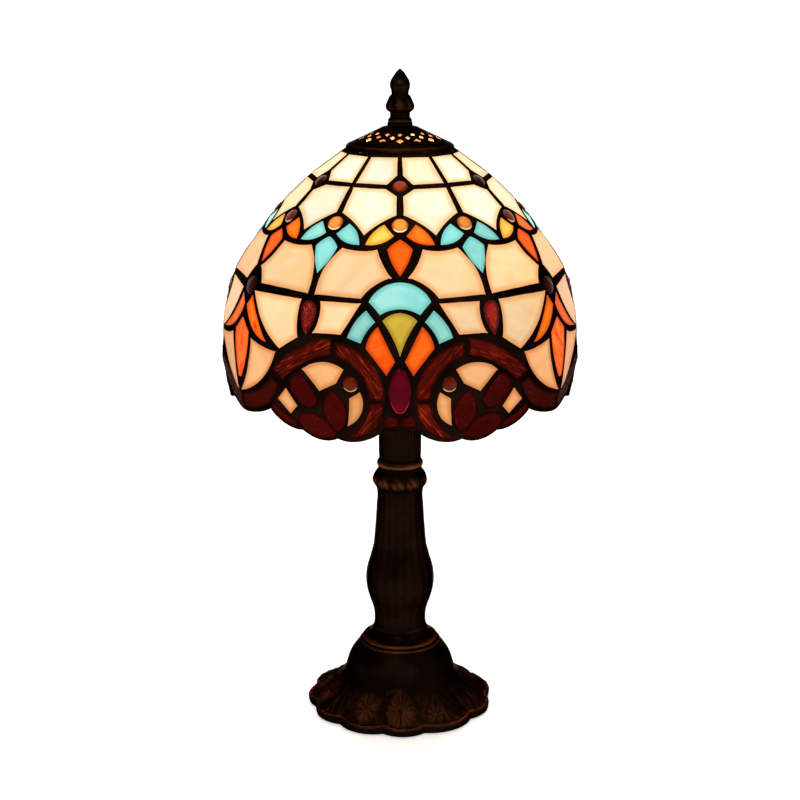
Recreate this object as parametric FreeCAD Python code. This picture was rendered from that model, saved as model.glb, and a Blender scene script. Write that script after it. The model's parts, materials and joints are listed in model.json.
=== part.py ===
import FreeCAD, Part
import math
import os

# Stained glass table lamp: a cast bronze-finished base, a leaded glass dome shade carried by a harp,
# a pierced cap and a finial. Millimetres, +Z up, origin on the table under the middle of the base.
# Azimuths are in degrees about +Z, 0 at the front (-Y), growing towards +X.

V = FreeCAD.Vector
UP = V(0, 0, 1)
VIA = "via"                 # marks the middle point of an arc in an outline
FIT_GAP = 0.05              # gap between two pieces that only rest or slide on each other

# ---------------------------------------------------------------- driving dimensions
# Shade. Its section is three tangent arcs, measured by the distance s down the section from the crown.
CROWN_R = 30.9              # radius of the shade's section at s = 0
CROWN_Z = 338.4             # height of the shade's section at s = 0
CROWN_SLOPE = 33.4          # angle of the section below horizontal at s = 0
SECTION_ARCS = [(194.4, 86.0), (56.4, 98.0), (121.3, 400.0)]   # (arc radius, s where the arc ends)
LEAD_HALF = 1.8             # half the thickness of the leading across the shade's wall
GLASS_HALF = 1.2            # half the thickness of sheet glass
STONE_TOP = 2.4             # how far cast jewels stand outside their seating plane
STONE_ROUND = 1.6           # rounding of the jewels' outer edges
FAN_AZIMUTHS = [0, 120, 240]
TULIP_AZIMUTHS = [60, 180, 300]
AMBER_AZIMUTHS = [0, 60, 120, 180, 240, 300]
TURQUOISE_AZIMUTHS = [30, 90, 150, 210, 270, 330]

# Base castings
FOOT_BOTTOM = 0.8
FOOT_TOP = 49.0
COLUMN_TOP = 138.0
NECK_TOP = 186.0
LOBE_R = 56.4               # outermost radius of the foot's leaf lobes
NOTCH_R = 51.8              # radius of the notches between the lobes
NOTCH_AZIMUTHS = [-74, -43, -11, 16, 54, 86, 122, 163, 197, 228, 257]
COVER_R = 47.0

# Central hardware
ROD_R = 5.0                 # hollow threaded rod, M10
ROD_BORE_R = 3.4
ROD_CLEAR_R = 5.25
ROD_BOTTOM = 30.0
ROD_TOP = 204.0
CORD_Z = 7.0                # height of the cord inlet
CORD_BORE_R = 3.0
BUSHING_R = 4.3             # outside of the bushing's sleeve
CORD_FACE_Y = 52.6          # flat at the back of the foot where the bushing sits

# Harp
SADDLE_Z = NECK_TOP
HARP_WIRE_R = 1.6
HARP_HALF_WIDTH = 40.0
HARP_STRAIGHT_TOP = 212.0
HARP_TOP_Z = 326.0          # middle of the wire at its highest point
HARP_CROWN_R = 33.0         # bend radius over the top
STUD_R = 3.1
SPIDER_Z = 333.0
RIM_Z = 335.55              # underside of the shade's rim ring
CAP_Z = 339.25              # underside of the pierced cap

# Lampholder and bulb, E27
SOCKET_Z = 192.0              # underside of the lampholder
INSULATOR_Z = 208.0
INSULATOR_TOP = 214.0
TERMINAL_X = 10.5
BULB_CAP_R = 13.0
BULB_Z = 218.0              # the bulb's tip contact


# ---------------------------------------------------------------- geometry helpers
def section(s):
    """Radius, height and slope (radians below horizontal) of the shade's section at distance s."""
    r, z, slope = CROWN_R, CROWN_Z, math.radians(CROWN_SLOPE)
    start = 0.0
    for radius, end in SECTION_ARCS:
        turn = (min(s, end) - start) / radius
        r += radius * (math.sin(slope + turn) - math.sin(slope))
        z += radius * (math.cos(slope + turn) - math.cos(slope))
        slope += turn
        start = end
        if s <= end:
            break
    return r, z, slope


def polar(radius, azimuth, z):
    a = math.radians(azimuth)
    return V(radius * math.sin(a), -radius * math.cos(a), z)


def on_shade(azimuth, s):
    r, z, _ = section(s)
    return polar(r, azimuth, z)


def wire_through(points):
    """Closed wire through (vector, is_via) pairs; a via point is the middle of an arc."""
    edges = []
    count = len(points)
    i = 0
    while i < count:
        here = points[i][0]
        after, is_via = points[(i + 1) % count]
        if is_via:
            end = points[(i + 2) % count][0]
            edges.append(Part.Arc(here, after, end).toShape())
            i += 2
        else:
            edges.append(Part.LineSegment(here, after).toShape())
            i += 1
    return Part.Wire(edges)


def flagged(outline, place):
    return [(place(p[0], p[1]), len(p) == 3) for p in outline]


def turned(outline):
    """Body of revolution from an (r, z) outline."""
    face = Part.Face(wire_through(flagged(outline, lambda r, z: V(r, 0, z))))
    return face.revolve(V(0, 0, 0), UP, 360)


def ring(r_in, r_out, z_low, z_high):
    body = Part.makeCylinder(r_out, z_high - z_low, V(0, 0, z_low))
    if r_in > 0:
        body = body.cut(Part.makeCylinder(r_in, z_high - z_low, V(0, 0, z_low)))
    return body


def tube_along(start, direction, r_in, r_out, length):
    outer = Part.makeCylinder(r_out, length, start, direction)
    return outer.cut(Part.makeCylinder(r_in, length, start, direction))


def hexagon(across_flats, r_in, z_low, z_high):
    corner_r = across_flats / math.sqrt(3)
    corners = [(polar(corner_r, 60 * k + 30, z_low), False) for k in range(6)]
    body = Part.Face(wire_through(corners)).extrude(V(0, 0, z_high - z_low))
    return body.cut(Part.makeCylinder(r_in, z_high - z_low, V(0, 0, z_low)))


def block(x, y, z):
    """Box from (low, high) pairs."""
    return Part.makeBox(x[1] - x[0], y[1] - y[0], z[1] - z[0], V(x[0], y[0], z[0]))


def save(name, *solids):
    shape = solids[0] if len(solids) == 1 else Part.Compound(list(solids))
    shape.exportStep("parts/" + name + ".step")
    print(name, len(shape.Solids), "solids", round(shape.Volume), "mm3", shape.isValid())


# ---------------------------------------------------------------- glass
def flat_outline(outline, azimuth, hand):
    """Lays an (azimuth offset, s) outline on the plane that fits it best.
    Returns the flagged points in that plane and the plane's outward normal."""
    points = flagged(outline, lambda a, s: on_shade(azimuth + hand * a, s))
    count = len(points)
    middle = V(0, 0, 0)
    normal = V(0, 0, 0)
    for i in range(count):
        p = points[i][0]
        q = points[(i + 1) % count][0]
        middle += p * (1.0 / count)
        normal += p.cross(q)
    normal.normalize()
    if normal.dot(V(middle.x, middle.y, 0)) < 0:
        normal = normal * -1
    placed = [(p - normal * (p - middle).dot(normal), via) for p, via in points]
    return placed, normal


def prism(outline, azimuth, hand, low, high):
    points, normal = flat_outline(outline, azimuth, hand)
    base = Part.Face(wire_through([(p + normal * low, via) for p, via in points]))
    return base.extrude(normal * (high - low))


def stone(outline, azimuth, hand):
    """Cast jewel: a prism with its outer edge rounded over."""
    body = prism(outline, azimuth, hand, -GLASS_HALF, STONE_TOP)
    points, normal = flat_outline(outline, azimuth, hand)
    top = points[0][0] + normal * STONE_TOP
    rim = [e for e in body.Edges if all(abs((v.Point - top).dot(normal)) < 1e-3 for v in e.Vertexes)]
    return body.makeFillet(STONE_ROUND, rim)


def round_outline(s, radius):
    """Circle of that radius, centred on its own azimuth at distance s."""
    half = math.degrees(radius / section(s)[0])
    return [(-half, s), (0, s - radius, VIA), (half, s), (0, s + radius, VIA)]


def mirrored(half):
    """Closed outline from its right half, listed from the top point to the bottom point."""
    left = [tuple([-p[0]] + list(p[1:])) for p in reversed(half) if p[0] != 0]
    return half + left


# Outlines of the panes as (azimuth offset, s). Each is a half-motif, drawn to the right of its own axis.
CROWN_PANE = [(2.3, 2.6), (27.7, 2.6), (28.2, 23.0), (8.2, 23.0), (2.2, 16.4)]
SHOULDER_PANE = [(1.9, 31.8), (8.5, 26.4), (28.3, 26.6), (28.2, 43.8), (21.0, 49.2, VIA), (15.1, 57.0),
                 (9.3, 49.4, VIA), (1.9, 44.3)]
GARLAND_PETAL = [(7.0, 50.5), (11.2, 55.2, VIA), (13.6, 62.9), (7.3, 61.5, VIA), (2.7, 57.2)]
KITE = [(0, 59.4), (2.9, 61.4, VIA), (4.8, 65.4), (3.5, 73.4, VIA), (0, 80.8)]
UPPER_PANE_FAN = [(8.8, 65.8), (15.5, 66.7, VIA), (22.8, 65.5), (28.3, 82.0), (28.5, 93.0), (12.8, 93.2),
                  (8.6, 85.9, VIA), (3.0, 82.0), (6.6, 73.6, VIA)]
UPPER_PANE_TULIP = [(7.6, 65.8), (15.0, 66.5, VIA), (22.8, 65.5), (28.3, 82.0), (28.5, 92.8), (5.6, 91.8),
                    (3.8, 86.8, VIA), (1.7, 83.0), (5.3, 74.0, VIA)]
LOWER_PANE_FAN = [(12.7, 96.3), (26.2, 96.5), (25.9, 104.0, VIA), (27.4, 113.2), (18.4, 112.8)]
LOWER_PANE_TULIP = [(4.6, 97.2), (26.2, 96.4), (25.7, 105.0, VIA), (27.1, 116.6), (20.6, 124.0),
                    (9.7, 110.0, VIA)]
DROP_JEWEL = [(-2.5, 101.4), (0, 96.9, VIA), (2.5, 101.4), (1.9, 108.0, VIA), (0, 114.4), (-1.9, 108.0, VIA)]
TULIP_SIDE_PETAL = [(3.4, 99.9), (7.8, 110.6, VIA), (14.4, 122.1), (4.6, 114.9, VIA), (0.8, 105.4)]
TULIP_MIDDLE_PETAL = [(0, 112.8), (4.6, 120.0), (3.6, 133.6, VIA), (0.8, 146.0)]
TULIP_SKIRT = [(6.5, 122.9), (12.8, 125.6, VIA), (19.0, 126.4), (11.7, 143.8, VIA), (1.2, 153.0),
               (5.0, 137.0, VIA)]
FAN_TOP = [(-9.8, 95.2), (0, 84.4, VIA), (9.8, 95.2), (6.2, 101.7), (0, 98.4, VIA), (-6.2, 101.7)]
FAN_SIDE = [(10.6, 99.9), (14.0, 106.2, VIA), (16.1, 114.4), (11.9, 117.0), (10.5, 111.4, VIA), (7.7, 105.6)]
FAN_WEDGE = [(-5.3, 105.0), (0, 100.9, VIA), (5.3, 105.0), (2.5, 112.6, VIA), (0, 122.8), (-2.5, 112.6, VIA)]
FAN_QUARTER = [(6.8, 108.2), (8.9, 112.6, VIA), (10.2, 119.6), (4.0, 133.4), (1.5, 126.3)]
RUBY = [(-1.61, 131.57), (0, 130.0, VIA), (1.61, 131.57), (3.38, 142.3, VIA), (1.61, 153.03),
        (0, 154.6, VIA), (-1.61, 153.03), (-3.38, 142.3, VIA)]
SCROLL_BAR_INNER = [(19.2, 118.2), (9.6, 126.2, VIA), (4.9, 146.3), (8.7, 146.5), (12.4, 131.4, VIA),
                    (19.2, 124.0)]
SCROLL_BAR_OUTER = [(21.4, 115.9), (32.0, 122.4, VIA), (41.2, 136.2), (38.0, 140.0), (30.2, 129.2, VIA),
                    (21.4, 123.4)]
SCROLL_BAR_LOWER = [(5.3, 149.0), (7.6, 162.3, VIA), (16.4, 169.4), (10.9, 159.6, VIA), (8.8, 149.6)]
SWAG_BAR = [(0.6, 155.4), (8.8, 151.2, VIA), (17.4, 141.0), (20.8, 143.5), (18.3, 149.8, VIA), (15.0, 156.2),
            (8.2, 161.3, VIA), (0.6, 163.5)]
SCROLL_LEAVES = [
    [(31.2, 136.6), (34.9, 141.0, VIA), (34.4, 146.8), (30.6, 153.2), (26.9, 152.2, VIA), (25.9, 148.8),
     (28.1, 142.8, VIA)],
    [(20.6, 143.8), (17.2, 151.0, VIA), (19.3, 166.2), (23.5, 152.6, VIA)],
    [(20.6, 168.6), (25.0, 159.8, VIA), (31.8, 159.0), (32.9, 163.0, VIA), (31.2, 167.2), (26.3, 171.0, VIA)],
    [(42.6, 156.2), (37.2, 161.9), (34.3, 163.4), (33.9, 166.2), (39.2, 164.4, VIA), (43.2, 158.8)],
]
SCROLL_FILLERS = [
    [(17.0, 131.3), (23.5, 128.4, VIA), (30.4, 133.4), (24.8, 144.0), (19.4, 139.0)],
    [(12.0, 143.2), (11.2, 150.0, VIA), (15.9, 162.2), (15.4, 153.4, VIA), (15.2, 147.0)],
    [(37.0, 145.4), (40.5, 152.2), (35.9, 159.4), (33.1, 154.4)],
]
THROAT_WEDGE = [(0.9, 157.8), (3.6, 155.4), (5.0, 162.0), (0.9, 162.0)]
# Lower edge of the shade, from the middle of a fan to the middle of a tulip.
HEM_LOBES = [
    [(0, 164.8), (4.8, 165.0)],
    [(4.8, 165.0), (10.4, 171.3, VIA), (19.9, 171.6)],
    [(19.9, 171.6), (26.2, 173.6, VIA), (32.3, 169.0)],
    [(32.3, 169.0), (39.4, 167.2, VIA), (45.0, 159.8)],
    [(45.0, 159.8), (52.0, 164.9, VIA), (60.0, 166.6)],
]
HEM_END = 181.0             # s past every lobe, where the turned wall of the leading stops


def panes(outline, azimuths, hands=(1, -1)):
    return [(outline, azimuth, hand) for azimuth in azimuths for hand in hands]


def group_of_outlines(outlines, azimuths):
    return [pane for outline in outlines for pane in panes(outline, azimuths)]


RIGHT = (1,)
LEFT = (-1,)
SHEET_GLASS = {
    "crown_panels_cream": panes(CROWN_PANE, AMBER_AZIMUTHS),
    "shoulder_panels_cream": panes(SHOULDER_PANE, AMBER_AZIMUTHS),
    "garland_petals_yellow": panes(GARLAND_PETAL, AMBER_AZIMUTHS, LEFT),
    "garland_petals_orange": panes(GARLAND_PETAL, AMBER_AZIMUTHS, RIGHT),
    "garland_petals_turquoise": panes(GARLAND_PETAL, TURQUOISE_AZIMUTHS),
    "kites_orange": panes(mirrored(KITE), AMBER_AZIMUTHS, RIGHT),
    "kites_turquoise": panes(mirrored(KITE), TURQUOISE_AZIMUTHS, RIGHT),
    "body_panels_upper": panes(UPPER_PANE_FAN, FAN_AZIMUTHS) + panes(UPPER_PANE_TULIP, TULIP_AZIMUTHS),
    "body_panels_lower": panes(LOWER_PANE_FAN, FAN_AZIMUTHS) + panes(LOWER_PANE_TULIP, TULIP_AZIMUTHS),
    "tulip_side_petals": panes(TULIP_SIDE_PETAL, TULIP_AZIMUTHS),
    "tulip_middle_petals": panes(mirrored(TULIP_MIDDLE_PETAL), TULIP_AZIMUTHS, RIGHT),
    "tulip_skirts_cream": panes(TULIP_SKIRT, TULIP_AZIMUTHS),
    "fan_arcs_turquoise": panes(FAN_TOP, FAN_AZIMUTHS, RIGHT) + panes(FAN_SIDE, FAN_AZIMUTHS),
    "fan_wedges_olive": panes(FAN_WEDGE, FAN_AZIMUTHS, RIGHT),
    "fan_quarters_orange": panes(FAN_QUARTER, FAN_AZIMUTHS),
    "scroll_bars_inner": panes(SCROLL_BAR_INNER, FAN_AZIMUTHS),
    "scroll_bars_outer": panes(SCROLL_BAR_OUTER, FAN_AZIMUTHS),
    "scroll_bars_lower": panes(SCROLL_BAR_LOWER, FAN_AZIMUTHS),
    "swag_bars": panes(SWAG_BAR, TULIP_AZIMUTHS),
    "scroll_leaves_maroon": group_of_outlines(SCROLL_LEAVES, FAN_AZIMUTHS),
    "scroll_fillers_cream": group_of_outlines(SCROLL_FILLERS, FAN_AZIMUTHS),
    "throat_wedges": panes(THROAT_WEDGE, FAN_AZIMUTHS),
}
JEWELS = {
    "crown_jewels": panes(round_outline(24.2, 4.2), AMBER_AZIMUTHS, RIGHT),
    "garland_jewels": panes(round_outline(50.5, 4.4), AMBER_AZIMUTHS + TURQUOISE_AZIMUTHS, RIGHT),
    "drop_jewels_red": panes(DROP_JEWEL, TURQUOISE_AZIMUTHS, RIGHT),
    "tulip_buds": panes(round_outline(94.6, 5.2), TULIP_AZIMUTHS, RIGHT),
    "ruby_cabochons": panes(RUBY, FAN_AZIMUTHS, RIGHT),
    "scroll_jewels": [(round_outline(138.9, 4.3), azimuth + side * 14.9, 1)
                      for azimuth in FAN_AZIMUTHS for side in (1, -1)],
}


# ---------------------------------------------------------------- leading
def wall_point(s, offset):
    r, z, slope = section(s)
    return V(r + offset * math.sin(slope), 0, z + offset * math.cos(slope))


def wall_edges(s_start, offset):
    """Arcs of the wall's section at that offset from the middle surface, from s_start to the hem."""
    stops = [s_start, SECTION_ARCS[0][1], SECTION_ARCS[1][1], HEM_END]
    edges = []
    for a, b in zip(stops, stops[1:]):
        points = [wall_point(s, offset) for s in (a, 0.5 * (a + b), b)]
        edges.append(Part.Arc(*points).toShape())
    return edges


def turned_wall():
    """The shade's wall as one body of revolution, with an upright edge where the rim ring is soldered."""
    outer_start, inner_start = -0.8, 1.6
    outer = wall_edges(outer_start, LEAD_HALF)
    inner = wall_edges(inner_start, -LEAD_HALF)
    crown = Part.LineSegment(wall_point(outer_start, LEAD_HALF), wall_point(inner_start, -LEAD_HALF)).toShape()
    hem = Part.LineSegment(wall_point(HEM_END, LEAD_HALF), wall_point(HEM_END, -LEAD_HALF)).toShape()
    face = Part.Face(Part.Wire(Part.__sortEdges__([crown, hem] + outer + inner)))
    return face.revolve(V(0, 0, 0), UP, 360)


def hem_cutters():
    """Prisms that trim the wall below each hem lobe; they run past their ends so that no sliver stays."""
    cutters = []
    past = HEM_END + 12
    for lobe in HEM_LOBES:
        first, last = lobe[0][0], lobe[-1][0]
        outline = lobe + [(last + 0.5, lobe[-1][1] + 0.4), (last + 3, past), (first - 3, past),
                          (first - 0.5, lobe[0][1] + 0.4)]
        for azimuth in FAN_AZIMUTHS:
            for hand in (1, -1):
                cutters.append(prism(outline, azimuth, hand, -9, 9))
    return cutters


def leading():
    windows = []
    for group in list(SHEET_GLASS.values()) + list(JEWELS.values()):
        for outline, azimuth, hand in group:
            windows.append(prism(outline, azimuth, hand, -3.4, 5.0))
    trimmed = turned_wall().cut(hem_cutters())
    net = trimmed.cut(windows)
    return max(net.Solids, key=lambda solid: solid.Volume)


# ---------------------------------------------------------------- base
def lobed_prism():
    """Outline of the leaf-shaped foot: one arc per lobe between two notches."""
    points = []
    for i, azimuth in enumerate(NOTCH_AZIMUTHS):
        following = NOTCH_AZIMUTHS[i + 1] if i + 1 < len(NOTCH_AZIMUTHS) else NOTCH_AZIMUTHS[0] + 360
        points.append((polar(NOTCH_R, azimuth, 0), False))
        points.append((polar(LOBE_R, 0.5 * (azimuth + following), 0), True))
    return Part.Face(wire_through(points)).extrude(V(0, 0, 60))


def base_foot():
    outside = turned([
        (0, FOOT_BOTTOM), (60, FOOT_BOTTOM), (60, 3.4), (52, 5.8), (43.8, 11.0, VIA), (36.9, 17.0),
        (34.2, 20.6, VIA), (33.0, 24.0), (32.5, 25.4), (30.3, 31.4, VIA), (27.0, 36.2), (26.7, 37.6, VIA),
        (25.4, 38.4), (25.2, 40.2, VIA), (23.6, 41.0), (20.2, 43.6, VIA), (17.2, 47.6), (16.6, FOOT_TOP),
        (0, FOOT_TOP)])
    cavity = turned([
        (0, 0), (COVER_R + 0.3, 0), (COVER_R + 0.3, 2.65), (45.5, 2.65), (45.5, 6.0), (37.0, 11.5), (30.5, 18.5),
        (28.0, 26.0), (20.5, 37.0), (13.0, 42.0), (0, 42.0)])
    boss = Part.makeCylinder(6.2, CORD_FACE_Y - 38, V(0, 38, CORD_Z), V(0, 1, 0))
    body = outside.common(lobed_prism()).cut(cavity).fuse(boss)
    body = body.cut(block((-8, 8), (CORD_FACE_Y, 70), (0, 20)))
    body = body.cut(Part.makeCylinder(BUSHING_R + FIT_GAP, 30, V(0, 30, CORD_Z), V(0, 1, 0)))
    body = body.cut(block((-20, 20), (30, 60), (-1, FOOT_BOTTOM)))
    body = body.cut(ring(0, COVER_R + 0.3, 0, 2.65))
    return body.cut(ring(0, ROD_CLEAR_R, 40, FOOT_TOP))


def cord_bushing():
    back = V(0, 1, 0)
    sleeve = tube_along(V(0, 39.6, CORD_Z), back, CORD_BORE_R, BUSHING_R, CORD_FACE_Y - 39.6 + 0.05)
    flange = tube_along(V(0, CORD_FACE_Y + 0.05, CORD_Z), back, CORD_BORE_R, 6.0, 1.6)
    return sleeve.fuse(flange).removeSplitter()


def column():
    outside = turned([
        (0, FOOT_TOP), (16.2, FOOT_TOP), (15.3, 54.5, VIA), (15.7, 60.5), (17.4, 66.0), (20.3, 79.5, VIA),
        (17.9, 93.2), (15.6, 102.0), (14.4, 116.0, VIA), (13.7, 128.0), (13.4, 133.0, VIA), (14.2, COLUMN_TOP),
        (0, COLUMN_TOP)])
    cavity = turned([(0, 53), (11, 53), (11, 62), (15, 74), (15, 86), (10.5, 104), (9.5, 134), (0, 134)])
    return outside.cut(cavity).cut(ring(0, ROD_CLEAR_R, 40, 150))


def neck():
    outside = turned([
        (0, COLUMN_TOP), (14.4, COLUMN_TOP), (15.0, 139.4), (16.6, 143.0, VIA), (15.0, 146.8), (12.9, 150.0),
        (12.9, 151.4), (13.7, 153.2, VIA), (12.9, 155.0), (12.4, 157.0), (12.7, NECK_TOP), (0, NECK_TOP)])
    cavity = turned([(0, 142), (10.5, 142), (9.0, 150), (9.0, 168), (0, 168)])
    return outside.cut(cavity).cut(ring(0, ROD_CLEAR_R, COLUMN_TOP - 1, NECK_TOP + 1))


# ---------------------------------------------------------------- harp and support
def harp_path():
    """Legs, long side arcs and crown arc, all tangent, in the XZ plane."""
    rise = HARP_TOP_Z - HARP_STRAIGHT_TOP
    side_r = (HARP_HALF_WIDTH ** 2 + rise ** 2 - 2 * rise * HARP_CROWN_R) / (2 * (HARP_HALF_WIDTH - HARP_CROWN_R))
    crown_z = HARP_TOP_Z - HARP_CROWN_R
    join_angle = math.atan2(crown_z - HARP_STRAIGHT_TOP, side_r - HARP_HALF_WIDTH)

    def on_crown(angle, side):
        return V(side * HARP_CROWN_R * math.cos(angle), 0, crown_z + HARP_CROWN_R * math.sin(angle))

    def on_side(angle, side):
        return V(side * (HARP_HALF_WIDTH - side_r + side_r * math.cos(angle)), 0,
                 HARP_STRAIGHT_TOP + side_r * math.sin(angle))

    foot_z = SADDLE_Z + 12
    edges = [Part.LineSegment(V(HARP_HALF_WIDTH, 0, foot_z), on_side(0, 1))]
    edges.append(Part.Arc(on_side(0, 1), on_side(join_angle / 2, 1), on_side(join_angle, 1)))
    edges.append(Part.Arc(on_crown(join_angle, 1), V(0, 0, HARP_TOP_Z), on_crown(join_angle, -1)))
    edges.append(Part.Arc(on_side(join_angle, -1), on_side(join_angle / 2, -1), on_side(0, -1)))
    edges.append(Part.LineSegment(on_side(0, -1), V(-HARP_HALF_WIDTH, 0, foot_z)))
    return Part.Wire([e.toShape() for e in edges])


def harp_wire():
    path = harp_path()
    start = V(HARP_HALF_WIDTH, 0, SADDLE_Z + 12)
    profile = Part.Wire([Part.Circle(start, UP, HARP_WIRE_R).toShape()])
    return path.makePipeShell([profile], True, False)


def harp_saddle():
    reach = HARP_HALF_WIDTH + 1.2
    strap = block((-reach, reach), (-6, 6), (SADDLE_Z, SADDLE_Z + 2))
    strap = strap.cut(ring(0, ROD_CLEAR_R, SADDLE_Z - 1, SADDLE_Z + 3))
    for side in (1, -1):
        x = sorted((side * (HARP_HALF_WIDTH - 1.2), side * reach))
        strap = strap.fuse(block(x, (-6, 6), (SADDLE_Z + 2, SADDLE_Z + 6)))
        strap = strap.fuse(block(x, (-1.5, 1.5), (SADDLE_Z + 6, SADDLE_Z + 12)))
    return strap.removeSplitter()


def harp_ferrules():
    return [tube_along(V(side * HARP_HALF_WIDTH, 0, SADDLE_Z + 6 + FIT_GAP), UP, 1.98, 3.1, 13) for side in (1, -1)]


def harp_stud(harp):
    low, high = HARP_TOP_Z - 3.5, SPIDER_Z - FIT_GAP
    grip = ring(0, 5.5, low, high).common(block((-5.5, 5.5), (-4.2, 4.2), (low, high)))
    thread = Part.makeCylinder(STUD_R, 32.5, V(0, 0, SPIDER_Z - FIT_GAP))
    return grip.fuse(thread).cut(harp)


def support_spider():
    z_low, z_high = SPIDER_Z + 0.6, RIM_Z - FIT_GAP
    body = ring(STUD_R + 0.2, 8, SPIDER_Z, z_high)
    body = body.fuse(ring(27.4, 30.4, z_low, z_high))
    for azimuth in (30, 150, 270):
        arm = block((-2.5, 2.5), (7, 28.4), (z_low, z_high))
        arm.rotate(V(0, 0, 0), UP, azimuth)
        body = body.fuse(arm)
    return body.removeSplitter()


# ---------------------------------------------------------------- cap and finial
def vented_cap():
    shell = turned([
        (31.2, CAP_Z), (31.2, 341.2), (30.7, 341.9, VIA), (29.4, 342.5), (24.0, 345.1), (11.2, 351.2),
        (9.4, 352.0, VIA), (7.6, 352.2), (3.4, 352.2), (3.4, 351.0), (7.4, 351.0), (10.6, 350.1), (23.4, 344.0),
        (28.8, 341.4), (29.8, 340.6), (29.8, CAP_Z)])
    run = V(24.0 - 11.2, 0, 345.1 - 351.2)
    out = V(-run.z, 0, run.x)
    out.normalize()
    along = run.normalize()
    across = V(0, 1, 0)
    holes = []
    for row, (radius, half_wide, half_long) in enumerate([(22.4, 2.1, 2.0), (19.2, 1.6, 1.6), (16.3, 1.4, 1.4)]):
        z = 351.2 - (radius - 11.2) * (351.2 - 345.1) / (24.0 - 11.2)
        middle = V(radius, 0, z) - out * 4
        corners = [middle + along * half_long, middle + across * half_wide,
                   middle - along * half_long, middle - across * half_wide]
        diamond = Part.Face(wire_through([(c, False) for c in corners])).extrude(out * 8)
        for k in range(14):
            hole = diamond.copy()
            hole.rotate(V(0, 0, 0), UP, (k + 0.5 * ((row + 1) % 2)) * 360 / 14)
            holes.append(hole)
    return shell.cut(holes)


def finial():
    z = 354.35
    body = turned([
        (0, z), (6.5, z), (6.9, z + 0.9, VIA), (6.3, z + 2.1), (5.6, z + 3.0), (5.6, 359.7), (7.6, 361.2),
        (8.3, 363.2, VIA), (7.7, 365.4), (6.0, 369.0), (4.9, 369.9), (4.9, 371.2), (5.2, 372.6),
        (5.5, 375.4, VIA), (4.4, 379.0), (2.5, 382.2), (0, 384.6)])
    pocket = ring(0, 4.3, z, 366.0).fuse(ring(0, 3.4, 366.0, 368.0))
    return body.cut(pocket)


# ---------------------------------------------------------------- lampholder and bulb
def socket_cap():
    z = SOCKET_Z
    outside = turned([(0, z), (9, z), (16.4, z + 7.5, VIA), (17.2, z + 15), (0, z + 15)])
    inside = turned([(0, z + 4), (8.5, z + 4), (15.2, z + 9, VIA), (15.9, z + 16), (0, z + 16)])
    return outside.cut(inside).cut(ring(0, ROD_CLEAR_R, z - 1, z + 5))


def socket_shell():
    low = SOCKET_Z + 15 + FIT_GAP
    return turned([(16.0, low), (17.2, low), (17.2, low + 34), (17.9, low + 35.2, VIA), (17.2, low + 36.4),
                   (16.0, low + 36.4)])


def socket_insulator():
    body = ring(0, 15.2, INSULATOR_Z, INSULATOR_TOP)
    for side in (1, -1):
        body = body.cut(Part.makeCylinder(1.55, 7, V(side * TERMINAL_X, 0, INSULATOR_Z - 0.5)))
    return body.cut(Part.makeCylinder(1.4, 7, V(0, 6.5, INSULATOR_Z - 0.5)))


def terminal_screws():
    screws = []
    for side in (1, -1):
        x = side * TERMINAL_X
        shank = Part.makeCylinder(1.5, 5.6, V(x, 0, INSULATOR_Z))
        head = Part.makeCylinder(2.8, 1.6, V(x, 0, INSULATOR_Z - 1.6))
        slot = block((x - 3, x + 3), (-0.35, 0.35), (INSULATOR_Z - 2, INSULATOR_Z - 1))
        screws.append(shank.fuse(head).cut(slot))
    return screws


def centre_contact():
    tongue = block((-2.4, 2.4), (-3, 8), (INSULATOR_TOP + FIT_GAP, INSULATOR_TOP + 0.8))
    tip = block((-2.4, 2.4), (-3, 0.6), (INSULATOR_TOP + 0.8, BULB_Z - FIT_GAP))
    return tongue.fuse(tip).removeSplitter()


def closing_arc(edge_radius, edge_z, top_z):
    """Middle and end of the arc that closes a turned outline over the axis, level where it meets the axis."""
    rise = top_z - edge_z
    radius = (edge_radius ** 2 + rise ** 2) / (2 * rise)
    half = math.asin(edge_radius / radius) / 2
    middle = (radius * math.sin(half), top_z - radius * (1 - math.cos(half)), VIA)
    return [middle, (0, top_z)]


def bulb_glass():
    """Globe with an open neck; its wall is 1 mm thick."""
    low = BULB_Z + 24.0 + FIT_GAP
    outside = turned([
        (0, low), (12.4, low), (12.8, low + 8), (16.4, low + 19.5, VIA), (22.0, low + 32.0),
        (22.6, low + 46.0, VIA), (13.0, low + 57.0)] + closing_arc(13.0, low + 57.0, low + 60.4))
    inside = turned([
        (0, low - 1), (11.4, low - 1), (11.8, low + 8), (15.4, low + 20, VIA), (21.0, low + 32.4),
        (21.5, low + 45.6, VIA), (12.4, low + 56.1)] + closing_arc(12.4, low + 56.1, low + 59.4))
    return outside.cut(inside)


def bulb_screw_cap():
    low, high = BULB_Z + 4.0, BULB_Z + 24.0
    return turned([(BULB_CAP_R - 0.6, low), (BULB_CAP_R, low + 0.8), (BULB_CAP_R, high), (BULB_CAP_R - 0.6, high),
                   (BULB_CAP_R - 0.6, low + 1.0), (BULB_CAP_R - 1.4, low)])


# ---------------------------------------------------------------- build
def build_base():
    save("base_foot", base_foot())
    save("column", column())
    save("neck", neck())
    save("base_cover_plate", ring(3.0, COVER_R, 1.6, 2.6))
    save("felt_pad", ring(0, COVER_R, 0, 1.6 - FIT_GAP))
    save("cord_bushing", cord_bushing())
    save("threaded_rod", ring(ROD_BORE_R, ROD_R, ROD_BOTTOM, ROD_TOP))
    save("rod_washer", ring(ROD_CLEAR_R, 11.5, 40.4, 42.0))
    save("rod_nut", hexagon(15.0, ROD_R + FIT_GAP, 35.0, 40.4))


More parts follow.
